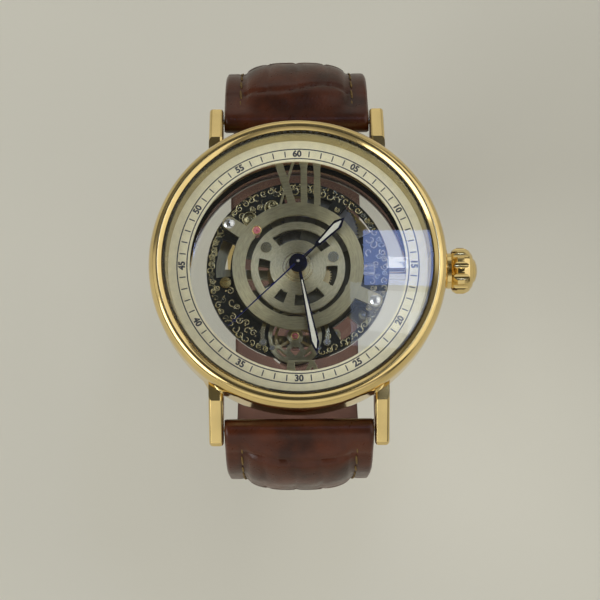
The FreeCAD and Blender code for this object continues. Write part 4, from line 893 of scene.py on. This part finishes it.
def emboss(rows, s, x):
    # creases at the rows' edges and splits, with the scales swelling between them
    v = scaleValues
    nearest, side, current = v["far"], v["far"], None
    for row in rows:
        gap = s - rowEdge(row, x)
        nearest = min(nearest, abs(gap))
        if gap >= 0:
            current = row
    if current:
        shift = v["sideWave"] * sin(v["sideTurn"] * s + current["phase"])
        side = min(abs(x - split - shift) for split in current["splits"])
    depth = exp(-(nearest / v["creaseW"]) ** 2) + v["sideShare"] * exp(-(side / v["creaseW"]) ** 2)
    pillow = v["pillow"] * (1 - exp(-(min(nearest, side) / v["pillowReach"]) ** 2))
    return pillow - v["creaseDepth"] * min(1.0, depth)


def roundedDrop(over, reach, drop):
    # how far a rounded edge has fallen at a distance past its start
    return drop * (1 - sqrt(max(0.0, 1 - (over / reach) ** 2)))


def topLift(half, rows, s, x, width, thick):
    # height of the show side above the strap's middle
    v, scale = strapValues, scaleValues
    lift = thick
    padded = fade(s, *v["padIn"]) * (1 - fade(s, half["padStop"] - v["padOut"], half["padStop"]))
    reach = abs(x) / v["padHalf"]
    if reach < 1:
        lift += padded * v["padRise"] * (1 - reach ** v["padPower"]) ** v["padRound"]
    low, high = (v["padHalf"] + step for step in scale["edgeFade"])
    onShow = fade(s, *scale["showIn"]) * (1 - scale["edgeShare"] * fade(abs(x), low, high))
    lift += onShow * emboss(rows, s, x)
    if s > v["seamFrom"]:
        seam = abs(abs(x) - (width - v["seamInset"]))
        lift -= v["seamDepth"] * exp(-(seam / v["seamW"]) ** 2)
    over = abs(x) - (width - v["topEdge"])
    if over > 0:
        lift -= roundedDrop(over, v["topEdge"], v["topEdgeDrop"])
    return lift


def strapRing(half, rows, stop, s):
    # one closed cross-section: the show side, then the lining side back
    v = strapValues
    width = strapWidthAt(pathPlace(half, max(0.0, min(s, stop)))[1])
    if s < 0:
        thick = sqrt(max(0.02, v["eyeR"] ** 2 - s ** 2))
    else:
        thick = v["half"] + (v["eyeR"] - v["half"]) * (1 - fade(s, 0, v["eyeFade"]))
    tip, point = half["tip"], half["point"]
    if s > stop - tip and not point:
        thick *= sqrt(max(0.03, 1 - ((s - stop + tip) / tip) ** 2))
    if point and s > stop - point:
        share = (s - stop + point) / point
        width *= max(v["pointWidth"], (1 - share ** v["pointPower"])) ** v["pointRound"]
        thick *= 1 - v["pointThin"] * share
    y, z, heading = pathPlace(half, s)
    a = radians(heading)
    crowd = pi / 2 * v["crowding"]
    across = [width * sin((2 * k / v["columns"] - 1) * crowd) / sin(crowd) for k in range(v["columns"] + 1)]
    ring = [(x, topLift(half, rows, s, x, width, thick)) for x in across]
    for x in reversed(across):
        over = max(0.0, abs(x) - (width - v["liningEdge"]))
        ring.append((x, -thick + roundedDrop(over, v["liningEdge"], v["liningEdgeDrop"])))
    return [(x * mm, half["end"] * (y - lift * sin(a)) * mm, (z + lift * cos(a)) * mm) for x, lift in ring]


def strapPiece(half):
    v = strapValues
    stop = pathLength(half["path"])
    if half is buckleHalf:
        stop += half["tip"] - half["barBack"]
    rows = creaseMap(half, stop)
    stations = [-v["eyeR"] * cos(k * pi / 2 / v["eyeSteps"]) for k in range(v["eyeSteps"])]
    count = int(stop / v["step"])
    stations += [stop * k / count for k in range(count + 1)]
    rings = [strapRing(half, rows, stop, s) for s in stations]
    size = len(rings[0])
    points = [point for ring in rings for point in ring]
    faces = [(r * size + k, r * size + (k + 1) % size, (r + 1) * size + (k + 1) % size, (r + 1) * size + k)
             for r in range(len(rings) - 1) for k in range(size)]
    for base in (0, (len(rings) - 1) * size):
        faces += [(base + k, base + k + 1, base + size - 2 - k, base + size - 1 - k)
                  for k in range(v["columns"])]
    piece = meshPiece(half["name"], points, faces)
    editAll(piece, lambda: mergeDoubles(v["mergeGap"]), faceOut)
    return piece, rows, stop


def cutWith(piece, cutter):
    modifier = piece.modifiers.new("cut", "BOOLEAN")
    modifier.operation = "DIFFERENCE"
    modifier.object = cutter
    modifier.solver = "MANIFOLD"  # the exact solver leaves the plugs instead of the strap
    pick(piece)
    bpy.ops.object.modifier_apply(modifier=modifier.name)
    dropped(cutter)


def strapMatrix(half, s, lift, x=0.0):
    # a frame on the strap: X across, Y along it, Z away from the wrist
    y, z, heading = pathPlace(half, s)
    a = radians(heading)
    end = half["end"]
    along = Vector((0, end * cos(a), sin(a)))
    away = Vector((0, -end * sin(a), cos(a)))
    across = along.cross(away)
    spot = Vector((x, end * (y - lift * sin(a)), z + lift * cos(a))) * mm
    turn = Matrix((across, along, away)).transposed().to_4x4()
    return Matrix.Translation(spot) @ turn


def showLining(piece, half):
    # the wrist side takes the lining leather
    samples = 150
    total = pathLength(half["path"])
    places = [pathPlace(half, total * k / samples) for k in range(samples + 1)]
    for face in piece.data.polygons:
        y, z = half["end"] * face.center.y / mm, face.center.z / mm
        a = radians(min(places, key=lambda place: hypot(place[0] - y, place[1] - z))[2])
        if face.normal.dot(Vector((0, -half["end"] * sin(a), cos(a)))) < -0.5:
            face.material_index = 1


stitchValues = dict(start=2.2, pitch=2.3, room=1.4, size=(0.18, 1.1, 0.16), rise=0.09, slant=4)


def stitches(half, rows, stop):
    v = stitchValues
    clearSelection()
    bpy.ops.mesh.primitive_uv_sphere_add(segments=8, ring_count=5, radius=1 * mm)
    stitch = bpy.context.object
    stitch.scale = v["size"]
    settle(stitch)
    pieces = []
    count = int((stop - half["sewnShort"] - v["room"]) / v["pitch"])
    for side in (1, -1):
        for k in range(count):
            s = v["start"] + k * v["pitch"]
            width = strapWidthAt(pathPlace(half, s)[1])
            x = side * (width - strapValues["seamInset"])
            lift = topLift(half, rows, s, x, width, strapValues["half"]) + v["rise"]
            place = strapMatrix(half, s, lift, x)
            pieces.append(placedCopy(stitch, place @ Matrix.Rotation(radians(v["slant"]), 4, "Z")))
    dropped(stitch)
    piece = joined(half["name"] + "Stitches", pieces)
    smooth(piece, meshValues["smallAngle"])
    return piece


def makeHalf(half, cutters):
    piece, rows, stop = strapPiece(half)
    cutWith(piece, joined("cutter", cutters))
    smooth(piece, strapValues["shadeAngle"])
    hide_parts(half["node"])
    finishPiece(piece, half["body"], "strap_leather", leather, lining)
    showLining(piece, half)
    finishPiece(stitches(half, rows, stop), half["body"], "strap_leather", thread)


holeValues = dict(radius=0.9, sides=28, depth=9, fromTip=12, pitch=6.5, count=7)
slotSize = (2.6, 6.4, 12)


def holeCutter(half, s):
    clearSelection()
    bpy.ops.mesh.primitive_cylinder_add(vertices=holeValues["sides"], radius=holeValues["radius"] * mm,
                                        depth=holeValues["depth"] * mm)
    cutter = bpy.context.object
    cutter.data.transform(strapMatrix(half, s, 0))
    return cutter


def prongSlot(half):
    clearSelection()
    bpy.ops.mesh.primitive_cube_add(size=1)
    cutter = bpy.context.object
    cutter.data.transform(Matrix.Diagonal((*(side * mm for side in slotSize), 1)))
    cutter.data.transform(strapMatrix(half, pathLength(half["path"]) - half["barBack"], 0))
    return cutter


firstHole = pathLength(longHalf["path"]) - holeValues["fromTip"]
holes = [firstHole - holeValues["pitch"] * k for k in range(holeValues["count"])]
makeHalf(longHalf, [holeCutter(longHalf, s) for s in holes])
makeHalf(buckleHalf, [prongSlot(buckleHalf)])
for nodeName, name, width, segments, body, slotName, finish in (
    ("fixed_keeper", "fixedKeeperLoop", 0.35, 3, "buckle_half", "strap_leather", leather),
    ("free_keeper", "freeKeeperLoop", 0.35, 3, "free_keeper", "strap_leather", leather),
    ("buckle_frame", "buckleFrame", 0.5, 4, "buckle_frame", "gold_plate", gold),
    ("buckle_prong", "buckleProng", 0.2, 3, "buckle_prong", "gold_plate", gold),
):
    finishPiece(bevelledCopy(nodeName, name, width, segments), body, slotName, finish)
print("strap done")

# floor, lamps, world and camera
floorGap = 0.4
floorValues = dict(z=cadBox[0].z - floorGap * mm, size=3.0, colour=(0.77, 0.75, 0.645), mottle=1.03)


def paleFloor():
    v = floorValues
    clearSelection()
    bpy.ops.mesh.primitive_plane_add(size=v["size"], location=(0, 0, v["z"]))
    floor = settle(bpy.context.object)
    floor.name = "paleFloor"
    finish, shader = blankFinish("paleFloorPaper", v["colour"], 0.0, 0.9)
    tint = shaded(v["colour"], v["mottle"])
    colourFrom(finish, shader, grain(finish, 14, 2), [(0.3, v["colour"]), (0.7, tint)])
    floor.data.materials.append(finish)


def lamp(name, place, target, size, power, colour):
    data = bpy.data.lights.new(name, "AREA")
    data.shape = "RECTANGLE"
    data.size, data.size_y = size
    data.energy = power
    data.color = colour
    made = bpy.data.objects.new(name, data)
    made.location = place
    made.rotation_euler = (Vector(target) - Vector(place)).to_track_quat("-Z", "Y").to_euler()
    bpy.context.scene.collection.objects.link(made)


# stops over height and over the two sides; a side's stops are a share of the height's colour
worldValues = dict(
    strength=0.78,
    height=((0.0, (0.42, 0.40, 0.34)), (0.49, (0.47, 0.45, 0.39)), (0.54, (0.84, 0.83, 0.78)),
            (0.88, (0.96, 0.95, 0.90)), (0.95, (0.24, 0.235, 0.205)), (1.0, (0.13, 0.128, 0.115))),
    sides=dict(X=((0.0, 1.15), (0.84, 1.0), (0.93, 0.3), (1.0, 0.2)),
               Y=((0.0, 1.0), (0.11, 1.0), (0.17, 0.3), (0.45, 0.34), (0.53, 0.8), (0.64, 0.8), (0.69, 0.2),
                  (0.88, 0.2), (0.95, 0.9), (1.0, 1.05))))


def worldShade(tree, value, stops):
    # a colour ramp over a direction that runs from -1 to 1
    share = tree.nodes.new("ShaderNodeMapRange")
    share.inputs["From Min"].default_value = -1
    shades = tree.nodes.new("ShaderNodeValToRGB")
    fillStops(shades, stops)
    tree.links.new(value, share.inputs["Value"])
    tree.links.new(share.outputs["Result"], shades.inputs["Fac"])
    return shades.outputs["Color"]


def softWorld():
    world = bpy.data.worlds.new("softRoom")
    bpy.context.scene.world = world
    world.use_nodes = True
    tree = world.node_tree
    place = tree.nodes.new("ShaderNodeTexCoord")
    split = tree.nodes.new("ShaderNodeSeparateXYZ")
    tree.links.new(place.outputs["Generated"], split.inputs["Vector"])
    total = worldShade(tree, split.outputs["Z"], worldValues["height"])
    for axis, stops in worldValues["sides"].items():
        product = tree.nodes.new("ShaderNodeMix")
        product.data_type = "RGBA"
        product.blend_type = "MULTIPLY"
        product.inputs["Factor"].default_value = 1
        side = worldShade(tree, split.outputs[axis], [(at, (level, level, level)) for at, level in stops])
        tree.links.new(total, product.inputs[6])  # 6 and 7 are the colours A and B, output 2 their product
        tree.links.new(side, product.inputs[7])
        total = product.outputs[2]
    background = tree.nodes["Background"]
    tree.links.new(total, background.inputs["Color"])
    background.inputs["Strength"].default_value = worldValues["strength"]


cameraValues = dict(target=(0, 0, 8.8), distance=332.3, tilt=14.93, yaw=-0.38, roll=-0.52, lens=136.23,
                    sensor=36, shift=(0.0033, -0.0578), clip=(0.01, 20))


def mainCamera():
    v = cameraValues
    tilt, yaw, roll = radians(v["tilt"]), radians(v["yaw"]), radians(v["roll"])
    back = Vector((sin(yaw), -sin(tilt) * cos(yaw), cos(tilt) * cos(yaw)))
    right = Vector((0, 1, 0)).cross(back).normalized()
    up = back.cross(right)
    rightTurned = cos(roll) * right + sin(roll) * up
    upTurned = back.cross(rightTurned)
    data = bpy.data.cameras.new("mainCamera")
    data.lens = v["lens"]
    data.sensor_width = v["sensor"]
    data.shift_x, data.shift_y = v["shift"]
    data.clip_start, data.clip_end = v["clip"]
    made = bpy.data.objects.new("mainCamera", data)
    turn = Matrix((rightTurned, upTurned, back)).transposed().to_4x4()
    made.matrix_world = Matrix.Translation((Vector(v["target"]) + back * v["distance"]) * mm) @ turn
    bpy.context.scene.collection.objects.link(made)
    bpy.context.scene.camera = made


# lamps: name, place, what they face, size, power and colour; the window panes only show in the crystal
lamps = (
    ("keySoftbox", (0.85, 0.12, 0.68), (0, 0, 0), (1.8, 1.6), 7.8, (1.0, 0.98, 0.95)),
    ("fillSoftbox", (-0.65, -0.3, 0.42), (0, 0, 0), (0.6, 0.5), 3.0, (0.97, 0.98, 1.0)),
    ("underGlow", (0, 0, -0.018), (0, 0, -0.05), (0.02, 0.02), 0.0055, (1.0, 0.99, 0.96)),
    ("windowPaneBlue", (0.0455, 0.0783, 0.30), (0.0455, 0.0783, 0), (0.031, 0.025), 0.018, (0.34, 0.48, 1.0)),
    ("windowPaneBar", (0.0445, 0.0758, 0.299), (0.0445, 0.0758, 0), (0.0094, 0.0053), 0.0012, (0.9, 0.95, 1)),
    ("windowPaneWide", (0.0425, 0.053, 0.30), (0.0425, 0.053, 0), (0.037, 0.028), 0.0062, (0.58, 0.71, 1.0)),
    ("windowPaneLow", (0.0433, 0.054, 0.299), (0.0433, 0.054, 0), (0.0235, 0.0178), 0.0032, (0.9, 0.94, 1.0)),
)
paleFloor()
for row in lamps:
    lamp(*row)
softWorld()
mainCamera()
scene = bpy.context.scene
scene.view_settings.view_transform = "Standard"
print("stage done")
